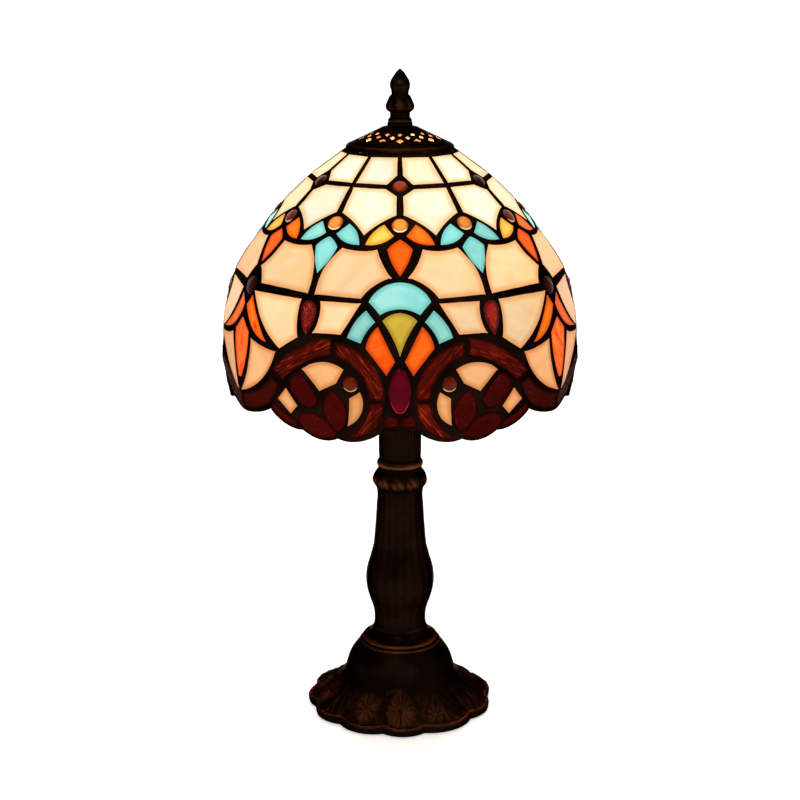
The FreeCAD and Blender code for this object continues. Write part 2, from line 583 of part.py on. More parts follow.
def build_harp():
    harp = harp_wire()
    save("harp", harp)
    save("harp_saddle", harp_saddle())
    save("harp_ferrules", *harp_ferrules())
    save("harp_stud", harp_stud(harp))
    save("lock_nut", hexagon(15.0, ROD_R + FIT_GAP, SADDLE_Z + 2, SOCKET_Z - FIT_GAP))
    save("support_spider", support_spider())


def build_lampholder_and_bulb():
    save("socket_cap", socket_cap())
    save("socket_shell", socket_shell())
    save("socket_insulator", socket_insulator())
    save("terminal_screws", *terminal_screws())
    save("socket_screw_shell", ring(BULB_CAP_R + 0.3, BULB_CAP_R + 0.9, INSULATOR_TOP, INSULATOR_TOP + 28))
    save("centre_contact", centre_contact())
    save("bulb_tip_contact", ring(0, 3.2, BULB_Z, BULB_Z + 1.0))
    save("bulb_insulator", turned([(0, BULB_Z + 1.0), (6.0, BULB_Z + 1.0), (11.0, BULB_Z + 3.9), (0, BULB_Z + 3.9)]))
    save("bulb_screw_cap", bulb_screw_cap())
    save("bulb_glass", bulb_glass())


def build_cap_and_finial():
    save("vented_cap", vented_cap())
    save("finial_washer", ring(STUD_R + 0.2, 7.2, 352.25, 354.3))
    save("finial", finial())
    save("finial_insert", ring(STUD_R + 0.07, 4.3, 354.35, 366.0))


def build_shade():
    save("rim_ring", ring(27.6, 31.1, RIM_Z, CAP_Z - FIT_GAP))
    for name, group in SHEET_GLASS.items():
        save(name, *[prism(outline, azimuth, hand, -GLASS_HALF, GLASS_HALF) for outline, azimuth, hand in group])
    for name, group in JEWELS.items():
        save(name, *[stone(outline, azimuth, hand) for outline, azimuth, hand in group])
    save("leading", leading())


os.makedirs("parts", exist_ok=True)
build_base()
build_harp()
build_lampholder_and_bulb()
build_cap_and_finial()
build_shade()
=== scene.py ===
import json
import math

import bmesh
import bpy
import numpy as np
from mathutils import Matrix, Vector, kdtree, noise
from mathutils.geometry import delaunay_2d_cdt


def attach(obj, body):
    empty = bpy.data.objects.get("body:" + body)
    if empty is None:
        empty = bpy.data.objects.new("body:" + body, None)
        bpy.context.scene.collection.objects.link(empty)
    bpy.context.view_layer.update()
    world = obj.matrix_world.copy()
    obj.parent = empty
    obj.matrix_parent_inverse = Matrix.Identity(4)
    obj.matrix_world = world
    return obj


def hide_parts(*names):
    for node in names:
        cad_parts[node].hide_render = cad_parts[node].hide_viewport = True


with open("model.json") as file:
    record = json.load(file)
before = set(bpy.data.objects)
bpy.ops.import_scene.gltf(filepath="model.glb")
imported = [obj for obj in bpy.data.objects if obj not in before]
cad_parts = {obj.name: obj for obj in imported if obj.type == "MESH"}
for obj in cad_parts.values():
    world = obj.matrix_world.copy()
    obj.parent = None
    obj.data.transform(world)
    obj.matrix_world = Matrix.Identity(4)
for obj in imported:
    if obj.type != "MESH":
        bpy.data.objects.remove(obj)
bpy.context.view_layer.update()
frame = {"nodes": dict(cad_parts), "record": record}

# The looks of a leaded glass table lamp. Shapes are worked out in millimetres and turned into metres when
# a mesh is made. Azimuths are about +Z, 0 at the front (-Y), growing towards +X, as in the design.

MM = 0.001
RECORD = frame["record"]
NODES = frame["nodes"]
BODY_OF = {node: body for body, members in RECORD["behaviour"]["bodies"].items() for node in members}
SLOT_OF = {subpart["node"]: subpart["material_slot"] for subpart in RECORD["subparts"]}

# ---------------------------------------------------------------- driving dimensions (mm)
# The shade's section: three tangent arcs, measured by the distance s down the section from the crown.
CROWN_R = 30.9
CROWN_Z = 338.4
CROWN_SLOPE = math.radians(33.4)
SECTION_ARCS = [(194.4, 86.0), (56.4, 98.0), (121.3, 400.0)]    # (arc radius, s where the arc ends)
HEM_LOBES = [                    # (azimuth, s): start, middle and end of each arc
    [(0.0, 164.8), (2.4, 164.9), (4.8, 165.0)],
    [(4.8, 165.0), (10.4, 171.3), (19.9, 171.6)],
    [(19.9, 171.6), (26.2, 173.6), (32.3, 169.0)],
    [(32.3, 169.0), (39.4, 167.2), (45.0, 159.8)],
    [(45.0, 159.8), (52.0, 164.9), (60.0, 166.6)],
]
SECTOR = math.radians(60)       # the net repeats, mirrored, every 60 degrees
SECTOR_MARGIN = 0.004           # loose points of the net's mesh stay this far (radians) inside the sector
NET_SPACING = 0.9               # spacing of the net's mesh away from its windows
GLASS_HALF = 1.2                # half the thickness of the sheet glass
GLASS_TUCK = 0.55               # how far a pane's edge runs under the solder
SOLDER_HALF = 1.12              # half the thickness of the net where it meets the glass
BEAD_HEIGHT = 0.44              # how far a solder bead stands above that
BEAD_WIDTH = 1.45               # distance from the glass to the bead's crest
HEM_ROUND = 1.7                 # rounding of the net's lower edge
BULB_MIDDLE = Vector((0, 0, 272.0))

# ---------------------------------------------------------------- materials
def rgb(red, green, blue):
    """A display colour, 0 to 255, as linear light."""
    parts = []
    for level in (red, green, blue):
        level = level / 255
        parts.append(level / 12.92 if level <= 0.04045 else ((level + 0.055) / 1.055) ** 2.4)
    return (*parts, 1.0)


class Shader:
    """Builds one node material around a Principled shader."""

    def __init__(self, name):
        self.material = bpy.data.materials.new(name)
        self.material.use_nodes = True
        self.tree = self.material.node_tree
        self.principled = self.tree.nodes["Principled BSDF"]

    def node(self, kind, **settings):
        made = self.tree.nodes.new(kind)
        for key, value in settings.items():
            setattr(made, key, value)
        return made

    def link(self, source, target):
        self.tree.links.new(source, target)

    def feed(self, socket, value):
        """Links an output, or sets a plain value."""
        if isinstance(value, bpy.types.NodeSocket):
            self.link(value, socket)
        else:
            socket.default_value = value

    def set(self, **inputs):
        for key, value in inputs.items():
            self.feed(self.principled.inputs[key.replace("_", " ")], value)

    def attribute(self, name, output="Fac"):
        return self.node("ShaderNodeAttribute", attribute_name=name).outputs[output]

    def place(self):
        return self.node("ShaderNodeTexCoord").outputs["Object"]

    def scaled(self, vector, scale):
        mapping = self.node("ShaderNodeMapping")
        self.link(vector, mapping.inputs["Vector"])
        mapping.inputs["Scale"].default_value = scale
        return mapping.outputs["Vector"]

    def noise(self, vector, scale, detail=3.0, roughness=0.55, distortion=0.0):
        made = self.node("ShaderNodeTexNoise")
        self.link(vector, made.inputs["Vector"])
        for key, value in (("Scale", scale), ("Detail", detail), ("Roughness", roughness),
                           ("Distortion", distortion)):
            made.inputs[key].default_value = value
        return made.outputs["Fac"]

    def between(self, value, low, high, to_low=0.0, to_high=1.0):
        """Smooth step of a value from low..high to to_low..to_high."""
        made = self.node("ShaderNodeMapRange", interpolation_type="SMOOTHSTEP")
        self.feed(made.inputs["Value"], value)
        for key, bound in (("From Min", low), ("From Max", high), ("To Min", to_low), ("To Max", to_high)):
            self.feed(made.inputs[key], bound)
        return made.outputs["Result"]

    def math(self, operation, first, second=0.0):
        made = self.node("ShaderNodeMath", operation=operation)
        self.feed(made.inputs[0], first)
        self.feed(made.inputs[1], second)
        return made.outputs[0]

    def mix(self, factor, first, second, blend="MIX"):
        made = self.node("ShaderNodeMix", data_type="RGBA", blend_type=blend)
        self.feed(made.inputs["Factor"], factor)
        self.feed(made.inputs[6], first)
        self.feed(made.inputs[7], second)
        return made.outputs[2]

    def slant(self, normal_attribute):
        """0 where a pane is seen square on, 1 along its surface; its normal is held in an attribute."""
        turned = self.node("ShaderNodeVectorTransform", vector_type="NORMAL", convert_from="OBJECT",
                           convert_to="WORLD")
        self.link(self.attribute(normal_attribute, "Vector"), turned.inputs[0])
        made = self.node("ShaderNodeLayerWeight")
        made.inputs["Blend"].default_value = 0.5
        self.link(turned.outputs[0], made.inputs["Normal"])
        return made.outputs["Facing"]

    def bump(self, height, strength, distance):
        made = self.node("ShaderNodeBump")
        made.inputs["Strength"].default_value = strength
        made.inputs["Distance"].default_value = distance
        self.feed(made.inputs["Height"], height)
        self.link(made.outputs["Normal"], self.principled.inputs["Normal"])


def lit_glass(name, middle, rim, cloud, glow=1.0, streak=None, cloud_size=38.0, painted_shade_width=3.8, gloss=0.12,
              ior=1.07, body=0.2, slanted=(0.4, 0.95, 0.75, 0.9), painted_highlight=None):
    """Glass lit from behind, its light painted in as glow: paler at the middle, deeper and dimmer beside the
    solder as painted shade, with clouds of a second colour.

    Colours are display colours, 0 to 255. streak is (colour, amount, across, along) for veins of another
    colour that run along each pane's grain. body is how much of its colour the glass shows by the room's
    light. slanted is (low, high, depth, light): from low to high the pane is seen through more of its
    thickness, which deepens and dims it. The last argument is the colour of a painted highlight inside a
    jewel's lower rim, where light gathered by the dome would fall.
    """
    shader = Shader(name)
    place = shader.place()
    grain = shader.attribute("grain", "Vector")
    edge = shader.attribute("edge")
    tone = shader.attribute("tone")
    light = shader.attribute("light")
    clouds = shader.between(shader.noise(place, cloud_size, 4.0, 0.5, 0.6), 0.38, 0.68)
    colour = shader.mix(clouds, rgb(*middle), rgb(*cloud))
    if streak is not None:
        vein_colour, amount, across, along = streak
        veins = shader.noise(shader.scaled(grain, (along, across, 1.0)), 1.0, 5.0, 0.62, 0.8)
        veins = shader.between(veins, 0.62 - 0.2 * amount, 0.74 - 0.08 * amount)
        veins = shader.math("MULTIPLY", veins, shader.between(tone, 0.2, 0.8, 0.35, 1.0))
        colour = shader.mix(veins, colour, rgb(*vein_colour))
    # Painted shade: beside the solder the colour turns deeper, and the glow with it dimmer, across the width
    # given for that shade.
    colour = shader.mix(shader.between(edge, 0.0, painted_shade_width, 0.85, 0.0), colour, rgb(*rim))
    low, high, depth, dim = slanted
    slant = shader.between(shader.slant("outward"), low, high)
    colour = shader.mix(shader.math("MULTIPLY", slant, depth), colour, rgb(*rim))
    # Painted light: the glow is emission standing for the bulb's light shining through the glass; its
    # strength starts from the light attribute, painted brighter near the bulb.
    shade = shader.math("MULTIPLY", light, shader.between(tone, 0.0, 1.0, 0.86, 1.08))
    shade = shader.math("MULTIPLY", shade, shader.between(slant, 0.0, 1.0, glow, glow * dim))
    wisps = shader.noise(shader.scaled(grain, (0.05, 0.16, 1.0)), 1.0, 3.0)
    shade = shader.math("MULTIPLY", shade, shader.between(wisps, 0.3, 0.7, 0.94, 1.04))
    # Painted highlight: a brighter colour inside a jewel's lower rim, where light gathered by the dome would
    # fall.
    if painted_highlight is not None:
        painted_highlight_mask = shader.math("MULTIPLY", shader.between(shader.attribute("low"), 0.3, 0.8),
                               shader.between(edge, 0.35, 0.9, 1.0, 0.0))
        colour = shader.mix(painted_highlight_mask, colour, rgb(*painted_highlight))
    dark = shader.mix(1.0, colour, (body, body, body, 1.0), "MULTIPLY")
    shader.set(Base_Color=dark, Emission_Color=colour, Emission_Strength=shade, Roughness=gloss,
               IOR=ior)
    ripples = shader.noise(place, 420.0, 2.0)
    shader.bump(ripples, 0.18, 0.0004)
    return shader.material


def patina(name, dark, worn, roughness, grain=900.0):
    """Dark finish on a metal, rubbed back to a warmer one on whatever stands proud."""
    shader = Shader(name)
    place = shader.place()
    mottle = shader.noise(place, 55.0, 5.0, 0.6)
    fine = shader.noise(place, grain, 3.0, 0.6)
    rubbed = shader.math("MULTIPLY", shader.attribute("wear"), shader.between(mottle, 0.28, 0.62, 0.45, 1.1))
    rubbed = shader.math("MULTIPLY", rubbed, shader.between(fine, 0.3, 0.6, 0.7, 1.05))
    browner = tuple(1.9 * part for part in dark[:3]) + (1.0,)
    base = shader.mix(shader.between(mottle, 0.35, 0.7), dark, browner)
    colour = shader.mix(rubbed, base, worn)
    shader.set(Base_Color=colour, Metallic=1.0, Specular_Tint=(0.24, 0.17, 0.13, 1.0),
               Roughness=shader.between(mottle, 0.3, 0.7, roughness - 0.06, roughness + 0.1))
    shader.bump(fine, 0.25, 0.00015)
    return shader.material


def metal(name, colour, roughness, tarnish=0.25):
    """Bare metal with turning or brushing lines round it and a little tarnish."""
    shader = Shader(name)
    place = shader.place()
    lines = shader.noise(shader.scaled(place, (1.0, 1.0, 60.0)), 30.0, 4.0, 0.65)
    stain = shader.between(shader.noise(place, 140.0, 5.0, 0.6), 0.45, 0.75, 0.0, tarnish)
    dull = tuple(0.35 * part for part in colour[:3]) + (1.0,)
    shader.set(Base_Color=shader.mix(stain, colour, dull), Metallic=1.0,
               Roughness=shader.between(lines, 0.3, 0.7, roughness - 0.07, roughness + 0.1))
    shader.bump(lines, 0.12, 0.0001)
    return shader.material


def dull_surface(name, colour, other, roughness, size, bump, sheen=0.0):
    """Felt, rubber or glazed ceramic: a mottled colour over a fine surface."""
    shader = Shader(name)
    place = shader.place()
    fine = shader.noise(place, size, 4.0, 0.7)
    shader.set(Base_Color=shader.mix(shader.between(fine, 0.35, 0.65), colour, other), Roughness=roughness,
               Sheen_Weight=sheen)
    shader.bump(fine, 0.5, bump)
    return shader.material


def frosted_bulb():
    """Frosted globe, brightest round the filament's height."""
    shader = Shader("bulb_glass")
    place = shader.place()
    height = shader.node("ShaderNodeSeparateXYZ")
    shader.link(place, height.inputs[0])
    low = shader.between(height.outputs["Z"], 0.244, 0.262, 0.35, 1.0)
    cloudy = shader.between(shader.noise(place, 120.0, 3.0), 0.3, 0.7, 0.92, 1.0)
    facing = shader.node("ShaderNodeLayerWeight").outputs["Facing"]
    colour = shader.mix(shader.between(facing, 0.25, 0.95), rgb(255, 244, 206), rgb(248, 186, 112))
    shader.set(Base_Color=rgb(150, 140, 120), Roughness=0.35, Emission_Color=colour,
               Emission_Strength=shader.math("MULTIPLY", shader.math("MULTIPLY", low, cloudy), 0.95))
    return shader.material


DEEP = {"body": 0.04, "ior": 1.015, "slanted": (0.45, 0.95, 0.6, 0.8)}
JEWEL = {"gloss": 0.06, "ior": 1.16, "body": 0.05, "slanted": (0.18, 0.5, 0.92, 0.45)}
GLASS_RECIPES = {               # name: (middle, rim, cloud, settings)
    "glass_cream": ((255, 250, 224), (250, 198, 130), (255, 243, 198),
        {"glow": 0.78}),
    "glass_peach": ((255, 216, 164), (242, 164, 98), (254, 204, 142),
        {"glow": 0.9, "cloud_size": 30.0}),
    "glass_tan": ((252, 186, 128), (214, 128, 66), (242, 170, 102),
        {"glow": 0.9, "cloud_size": 30.0, "painted_shade_width": 3.0}),
    "glass_turquoise": ((158, 224, 214), (104, 188, 176), (136, 214, 206),
        {"glow": 0.9, "painted_shade_width": 2.8, "slanted": (0.4, 0.95, 0.4, 1.0)}),
    "glass_yellow": ((253, 206, 92), (230, 142, 32), (250, 190, 68),
        {"glow": 0.95, "streak": ((250, 150, 50), 0.3, 0.5, 0.12), "painted_shade_width": 2.8}),
    "glass_orange": ((254, 132, 30), (214, 78, 12), (252, 112, 22),
        {"glow": 1.05, "streak": ((246, 44, 22), 1.2, 0.3, 0.05), "painted_shade_width": 2.6}),
    "glass_vermilion": ((252, 108, 24), (205, 60, 10), (250, 92, 18),
        {"glow": 1.05, "streak": ((244, 52, 20), 1.1, 0.3, 0.05), "painted_shade_width": 2.6}),
    "glass_olive": ((212, 178, 66), (166, 132, 34), (196, 168, 56),
        {"glow": 1.05, "painted_shade_width": 2.8}),
    "glass_chestnut": ((66, 11, 6), (34, 5, 3), (86, 15, 8),
        {"glow": 0.95, "painted_shade_width": 1.4, "streak": ((186, 58, 24), 0.6, 1.1, 0.09), "gloss": 0.18, **DEEP}),
    "glass_umber": ((58, 10, 5), (30, 5, 3), (72, 13, 7),
        {"glow": 0.95, "painted_shade_width": 1.4, "streak": ((120, 34, 16), 0.4, 1.1, 0.12), "gloss": 0.18, **DEEP}),
    "glass_maroon": ((62, 8, 6), (32, 3, 3), (76, 12, 9),
        {"glow": 0.95, "painted_shade_width": 1.2, "streak": ((118, 30, 20), 0.35, 1.6, 0.5), "gloss": 0.16, **DEEP}),
    # Some jewels below carry a painted highlight colour for inside their lower rim.
    "jewel_amber": ((244, 132, 36), (120, 36, 8), (252, 164, 72),
        {"glow": 1.1, "painted_shade_width": 2.0, "painted_highlight": (255, 214, 156), **JEWEL}),
    "jewel_garnet": ((138, 40, 9), (44, 10, 3), (190, 74, 20),
        {"painted_shade_width": 2.2, **JEWEL}),
    "jewel_sienna": ((84, 18, 3), (36, 8, 2), (112, 30, 5),
        {"painted_shade_width": 2.0, "painted_highlight": (255, 168, 92), **JEWEL}),
    "jewel_red": ((112, 12, 8), (60, 6, 4), (168, 30, 16),
        {"painted_shade_width": 2.4, "gloss": 0.06, "ior": 1.2, "streak": ((250, 168, 146), 0.28, 2.0, 0.6),
         "body": 0.05}),
    "jewel_ruby": ((122, 0, 26), (66, 0, 14), (90, 0, 17),
        {"painted_shade_width": 2.4, "gloss": 0.08, "ior": 1.1, "body": 0.03, "painted_highlight": (196, 30, 60)}),
    "jewel_brown": ((50, 14, 4), (22, 7, 3), (74, 22, 7),
        {"painted_shade_width": 2.6, "gloss": 0.08, "ior": 1.1, "body": 0.04}),
}
GLASS = {name: lit_glass(name, *recipe[:3], **recipe[3]) for name, recipe in GLASS_RECIPES.items()}
SOLDER = patina("solder", rgb(12, 7, 5), rgb(44, 26, 17), 0.5)
BRONZE = patina("bronze_casting", rgb(16, 8, 4), rgb(118, 72, 44), 0.4)
# The cap's inside: bare metal, made pale partly as painted light, standing for the bulb's light falling
# inside the cap and seen through its holes.
CAP_INSIDE_LIT = metal("cap_inside_lit", (0.80, 0.55, 0.40, 1.0), 0.55)
FINISHES = {
    "bronze_casting": BRONZE,
    "steel_hardware": metal("steel_hardware", (0.36, 0.35, 0.34, 1.0), 0.3),
    "brass": metal("brass", (0.50, 0.34, 0.13, 1.0), 0.28),
    "harp_wire": metal("harp_wire", (0.40, 0.28, 0.12, 1.0), 0.26, tarnish=0.35),
    "felt": dull_surface("felt", rgb(24, 34, 28), rgb(38, 50, 42), 0.95, 900.0, 0.0004, sheen=0.4),
    "rubber": dull_surface("rubber", rgb(20, 20, 20), rgb(32, 31, 30), 0.7, 700.0, 0.0001),
    "insulator": dull_surface("insulator", rgb(232, 226, 210), rgb(214, 206, 188), 0.35, 260.0, 0.00005),
    "bulb_cap_metal": metal("bulb_cap_metal", (0.50, 0.50, 0.51, 1.0), 0.32),
    "bulb_glass": frosted_bulb(),
    "solder": SOLDER,
    **GLASS,
}
NODE_FINISHES = {               # pieces whose finish is a shade of their slot's own
    "crown_jewels": GLASS["jewel_garnet"],
    "scroll_jewels": GLASS["jewel_sienna"],
    "kites_orange": GLASS["glass_vermilion"],
    "fan_quarters_orange": GLASS["glass_vermilion"],
    "swag_bars": GLASS["glass_umber"],
    "throat_wedges": GLASS["glass_umber"],
    "tulip_skirts_cream": GLASS["glass_tan"],
    "scroll_fillers_cream": GLASS["glass_tan"],
    "finial_washer": BRONZE,
}


# ---------------------------------------------------------------- making pieces
def new_piece(name, vertices, faces, material, smooth_angle=None, attributes=None):
    """A mesh object from points in millimetres, with per-point attributes."""
    mesh = bpy.data.meshes.new(name)
    mesh.from_pydata((np.asarray(vertices) * MM).tolist(), [], [list(map(int, face)) for face in faces])
    mesh.validate()
    return piece_of(mesh, material, smooth_angle, attributes)


def piece_of(mesh, material, smooth_angle, attributes):
    """An object of a mesh, smooth up to an angle in degrees, with per-point attributes."""
    mesh.shade_smooth()
    if smooth_angle is not None:
        mesh.set_sharp_from_angle(angle=math.radians(smooth_angle))
    for key, values in (attributes or {}).items():
        values = np.asarray(values, dtype=np.float32)
        if values.ndim == 1:
            mesh.attributes.new(key, "FLOAT", "POINT").data.foreach_set("value", values)
        else:
            mesh.attributes.new(key, "FLOAT_VECTOR", "POINT").data.foreach_set("vector", values.ravel())
    mesh.materials.append(material)
    piece = bpy.data.objects.new(mesh.name, mesh)
    bpy.context.collection.objects.link(piece)
    return piece


def stand_for(piece, node):
    """The piece takes the CAD node's place, on its body."""
    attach(piece, BODY_OF[node])
    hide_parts(node)
    return piece


def unit(vectors):
    return vectors / np.linalg.norm(vectors, axis=-1, keepdims=True)


def wavering(points, size, seed=0.0):
    """Smooth noise, about -1 to 1, at each point (mm), for features of the given size (mm)."""
    scaled = np.asarray(points) / size + seed
    return np.array([noise.noise(Vector(point)) for point in scaled])


# ---------------------------------------------------------------- the shade's surface
def section(s):
    """Radius, height and slope (radians below horizontal) of the shade's section at distances s."""
    s = np.asarray(s, dtype=float)
    r = np.full(s.shape, CROWN_R)
    z = np.full(s.shape, CROWN_Z)
    slope = np.full(s.shape, CROWN_SLOPE)
    start, lowest = 0.0, -20.0
    for radius, end in SECTION_ARCS:
        turn = (np.clip(s, lowest, end) - start) / radius
        r = r + radius * (np.sin(slope + turn) - np.sin(slope))
        z = z + radius * (np.cos(slope + turn) - np.cos(slope))
        slope = slope + turn
        start = lowest = end
    return r, z, slope


TABLE_S = np.arange(-6.0, 190.0, 0.05)
TABLE_R, TABLE_Z, TABLE_SLOPE = section(TABLE_S)
TABLE_LEVEL = np.concatenate([[0.0], np.cumsum(0.05 / (0.5 * (TABLE_R[1:] + TABLE_R[:-1])))])


def wall_point(azimuth, s, offset=0.0):
    """Points of the shade's wall: azimuth in radians, distance down the section, offset outwards."""
    r, z, slope = section(s)
    reach = r + offset * np.sin(slope)
    return np.stack([reach * np.sin(azimuth), -reach * np.cos(azimuth), z + offset * np.cos(slope)], axis=-1)


def on_section(points):
    """Azimuth, distance down the section and offset from it, for points near the wall."""
    azimuth = np.arctan2(points[:, 0], -points[:, 1])
    r = np.hypot(points[:, 0], points[:, 1])
    gaps = np.hypot(r[:, None] - TABLE_R[None, :], points[:, 2][:, None] - TABLE_Z[None, :])
    nearest = np.argmin(gaps, axis=1)
    slope = TABLE_SLOPE[nearest]
    away_r, away_z = r - TABLE_R[nearest], points[:, 2] - TABLE_Z[nearest]
    s = TABLE_S[nearest] + away_r * np.cos(slope) - away_z * np.sin(slope)
    return azimuth, s, away_r * np.sin(slope) + away_z * np.cos(slope)


def level(s):
    """Height of distances s on the conformal map of the wall, where x is the azimuth in radians."""
    return -np.interp(s, TABLE_S, TABLE_LEVEL)


def distance_at(levels):
    return np.interp(-np.asarray(levels), TABLE_LEVEL, TABLE_S)


# ---------------------------------------------------------------- pane outlines, read from the CAD nodes
def separate_shapes(node):
    """The node's mesh, welded, as one list of faces for each loose shape, in the mesh's own order."""
    welded = bmesh.new()
    welded.from_mesh(NODES[node].data)
    bmesh.ops.remove_doubles(welded, verts=welded.verts, dist=2e-6)
    welded.normal_update()
    seen = set()
    shapes = []
    for first in welded.faces:
        if first in seen:
            continue
        seen.add(first)
        front, shape = [first], [first]
        while front:
            for edge in front.pop().edges:
                for other in edge.link_faces:
                    if other not in seen:
                        seen.add(other)
                        front.append(other)
                        shape.append(other)
        shapes.append(shape)
    return welded, shapes


def ordered_loop(edges):
    """Points along a closed run of edges, in millimetres."""
    links = {}
    for edge in edges:
        first, second = edge.verts
        links.setdefault(first, []).append(second)
        links.setdefault(second, []).append(first)
    start = edges[0].verts[0]
    loop, before, here = [start], None, start
    while True:
        following = [v for v in links[here] if v is not before]
        before, here = here, following[0]
        if here is start:
            break
        loop.append(here)
    return np.array([vertex.co[:] for vertex in loop]) / MM


def inner_face_loop(shape):
    """Outline of the flat inner face of one pane."""
    middle = sum((face.calc_center_median() * face.calc_area() for face in shape), Vector())
    middle /= sum(face.calc_area() for face in shape)
    azimuth, s, _ = on_section(np.array([middle[:]]) / MM)
    _, _, slope = section(s)
    outward = Vector((math.sin(azimuth[0]) * math.sin(slope[0]), -math.cos(azimuth[0]) * math.sin(slope[0]),
                      math.cos(slope[0])))
    facing = [face for face in shape if face.normal.dot(outward) < -0.95]
    largest = max(facing, key=lambda face: face.calc_area())
    normal = largest.normal.copy()
    depth = normal.dot(largest.verts[0].co)
    flat = {face for face in shape
            if face.normal.dot(normal) > 0.9999 and abs(normal.dot(face.verts[0].co) - depth) < 2e-5}
    border = [edge for face in shape if face in flat for edge in face.edges
              if sum(other in flat for other in edge.link_faces) == 1]
    return ordered_loop(border), -np.array(normal[:])


class Pane:
    """One piece of glass: its outline in the plane of its own middle."""

    def __init__(self, loop, outward):
        self.normal = outward
        self.middle = loop.mean(axis=0) + outward * GLASS_HALF
        self.across = unit(np.cross([0.0, 0.0, 1.0], outward))
        self.up = np.cross(outward, self.across)
        flat = np.stack([(loop - self.middle) @ self.across, (loop - self.middle) @ self.up], axis=1)
        ahead = np.roll(flat, -1, axis=0)
        if np.sum(flat[:, 0] * ahead[:, 1] - ahead[:, 0] * flat[:, 1]) < 0:
            flat = flat[::-1]
        self.outline = even_outline(flat, 0.8)

    def to_space(self, flat, height):
        return (self.middle + flat[:, :1] * self.across + flat[:, 1:2] * self.up
                + np.asarray(height).reshape(-1, 1) * self.normal)


def even_outline(points, spacing, corner=24.0):
    """The same outline with evenly spaced points; corners stay, and what lies between them is smoothed."""
    before = points - np.roll(points, 1, axis=0)
    after = np.roll(points, -1, axis=0) - points
    cross = before[:, 0] * after[:, 1] - before[:, 1] * after[:, 0]
    turn = np.degrees(np.abs(np.arctan2(cross, np.sum(before * after, axis=1))))
    corners = np.flatnonzero(turn > corner)
    if len(corners) == 0:
        corners = np.array([0])
    runs = []
    for index, first in enumerate(corners):
        last = corners[(index + 1) % len(corners)]
        count = (last - first) % len(points) or len(points)
        run = points[(first + np.arange(count + 1)) % len(points)]
        runs.append(smooth_run(run, spacing))
    return np.concatenate(runs)


def smooth_run(points, spacing):
    """Evenly spaced points on a cubic through the given ones, without the last."""
    steps = np.linalg.norm(np.diff(points, axis=0), axis=1)
    along = np.concatenate([[0.0], np.cumsum(steps)])
    count = max(2, int(round(along[-1] / spacing)))
    wanted = np.linspace(0.0, along[-1], count + 1)[:-1]
    order = 2 if len(points) > 2 else 1
    tangents = np.gradient(points, along, axis=0, edge_order=order)
    index = np.clip(np.searchsorted(along, wanted, side="right") - 1, 0, len(points) - 2)
    span = along[index + 1] - along[index]
    x = ((wanted - along[index]) / span)[:, None]
    span = span[:, None]
    return ((2 * x ** 3 - 3 * x ** 2 + 1) * points[index] + (x ** 3 - 2 * x ** 2 + x) * span * tangents[index]
            + (3 * x ** 2 - 2 * x ** 3) * points[index + 1] + (x ** 3 - x ** 2) * span * tangents[index + 1])


def grown(outline, amount):
    """The outline moved outwards by an amount, mitred at its corners."""
    ahead = unit(np.roll(outline, -1, axis=0) - outline)
    behind = np.roll(ahead, 1, axis=0)
    normals = unit(np.stack([ahead[:, 1] + behind[:, 1], -ahead[:, 0] - behind[:, 0]], axis=1))
    mitre = np.sum(normals * np.stack([ahead[:, 1], -ahead[:, 0]], axis=1), axis=1)
    return outline + normals * (amount / np.maximum(mitre, 0.65))[:, None]


def outline_distance(points, outline):
    """Distance from each point to the outline."""
    start = outline
    run = np.roll(outline, -1, axis=0) - outline
    away = points[:, None, :] - start[None, :, :]
    share = np.clip(np.sum(away * run, axis=2) / np.sum(run * run, axis=1), 0.0, 1.0)
    return np.min(np.linalg.norm(away - share[:, :, None] * run, axis=2), axis=1)


def inside_outline(points, outline):
    """Which points lie inside a closed outline."""
    x, y = points[:, 0][:, None], points[:, 1][:, None]
    x0, y0 = outline[:, 0][None, :], outline[:, 1][None, :]
    x1, y1 = np.roll(outline[:, 0], -1)[None, :], np.roll(outline[:, 1], -1)[None, :]
    spans = (y0 > y) != (y1 > y)
    with np.errstate(divide="ignore", invalid="ignore"):
        crossing = x0 + (y - y0) * (x1 - x0) / (y1 - y0)
    return np.sum(spans & (x < crossing), axis=1) % 2 == 1


def triangulated(points, loops):
    """Triangles inside the first loop and outside the others, with the points that they use."""
    made = delaunay_2d_cdt([Vector(point) for point in points], [], loops, 0, 1e-6)
    triangles = [list(face) for face, within in zip(made[2], made[5]) if list(within) == [0]]
    used = sorted({point for triangle in triangles for point in triangle})
    renumber = {point: position for position, point in enumerate(used)}
    flat = np.array([made[0][point][:] for point in used])
    return flat, [[renumber[point] for point in triangle] for triangle in triangles]


def staggered_grid(low, high, spacing):
    """Points of a triangular grid over a rectangle."""
    rows = np.arange(low[1], high[1], spacing * math.sqrt(0.75))
    points = []
    for row, y in enumerate(rows):
        x = np.arange(low[0] + (row % 2) * spacing / 2, high[0], spacing)
        points.append(np.stack([x, np.full(x.shape, y)], axis=1))
    return np.concatenate(points)


def cut_kite(outline):
    """The kite as a glazier cuts it: four corners, with nearly straight sides between them."""
    top, tip = outline[np.argmax(outline[:, 1])], outline[np.argmin(outline[:, 1])]
    left, right = outline[:, 0].min(), outline[:, 0].max()
    shoulder = top[1] - 0.27 * (top[1] - tip[1])
    corners = np.array([top, (left, shoulder), tip, (right, shoulder)])
    share = np.linspace(0, 1, 12, endpoint=False)[:, None]
    sides = []
    for first, second in zip(corners, np.roll(corners, -1, axis=0)):
        run = second - first
        bulge = 0.055 * 4 * share * (1 - share) * np.array([run[1], -run[0]])
        sides.append(first + share * run + bulge)
    return even_outline(np.concatenate(sides), 0.8)


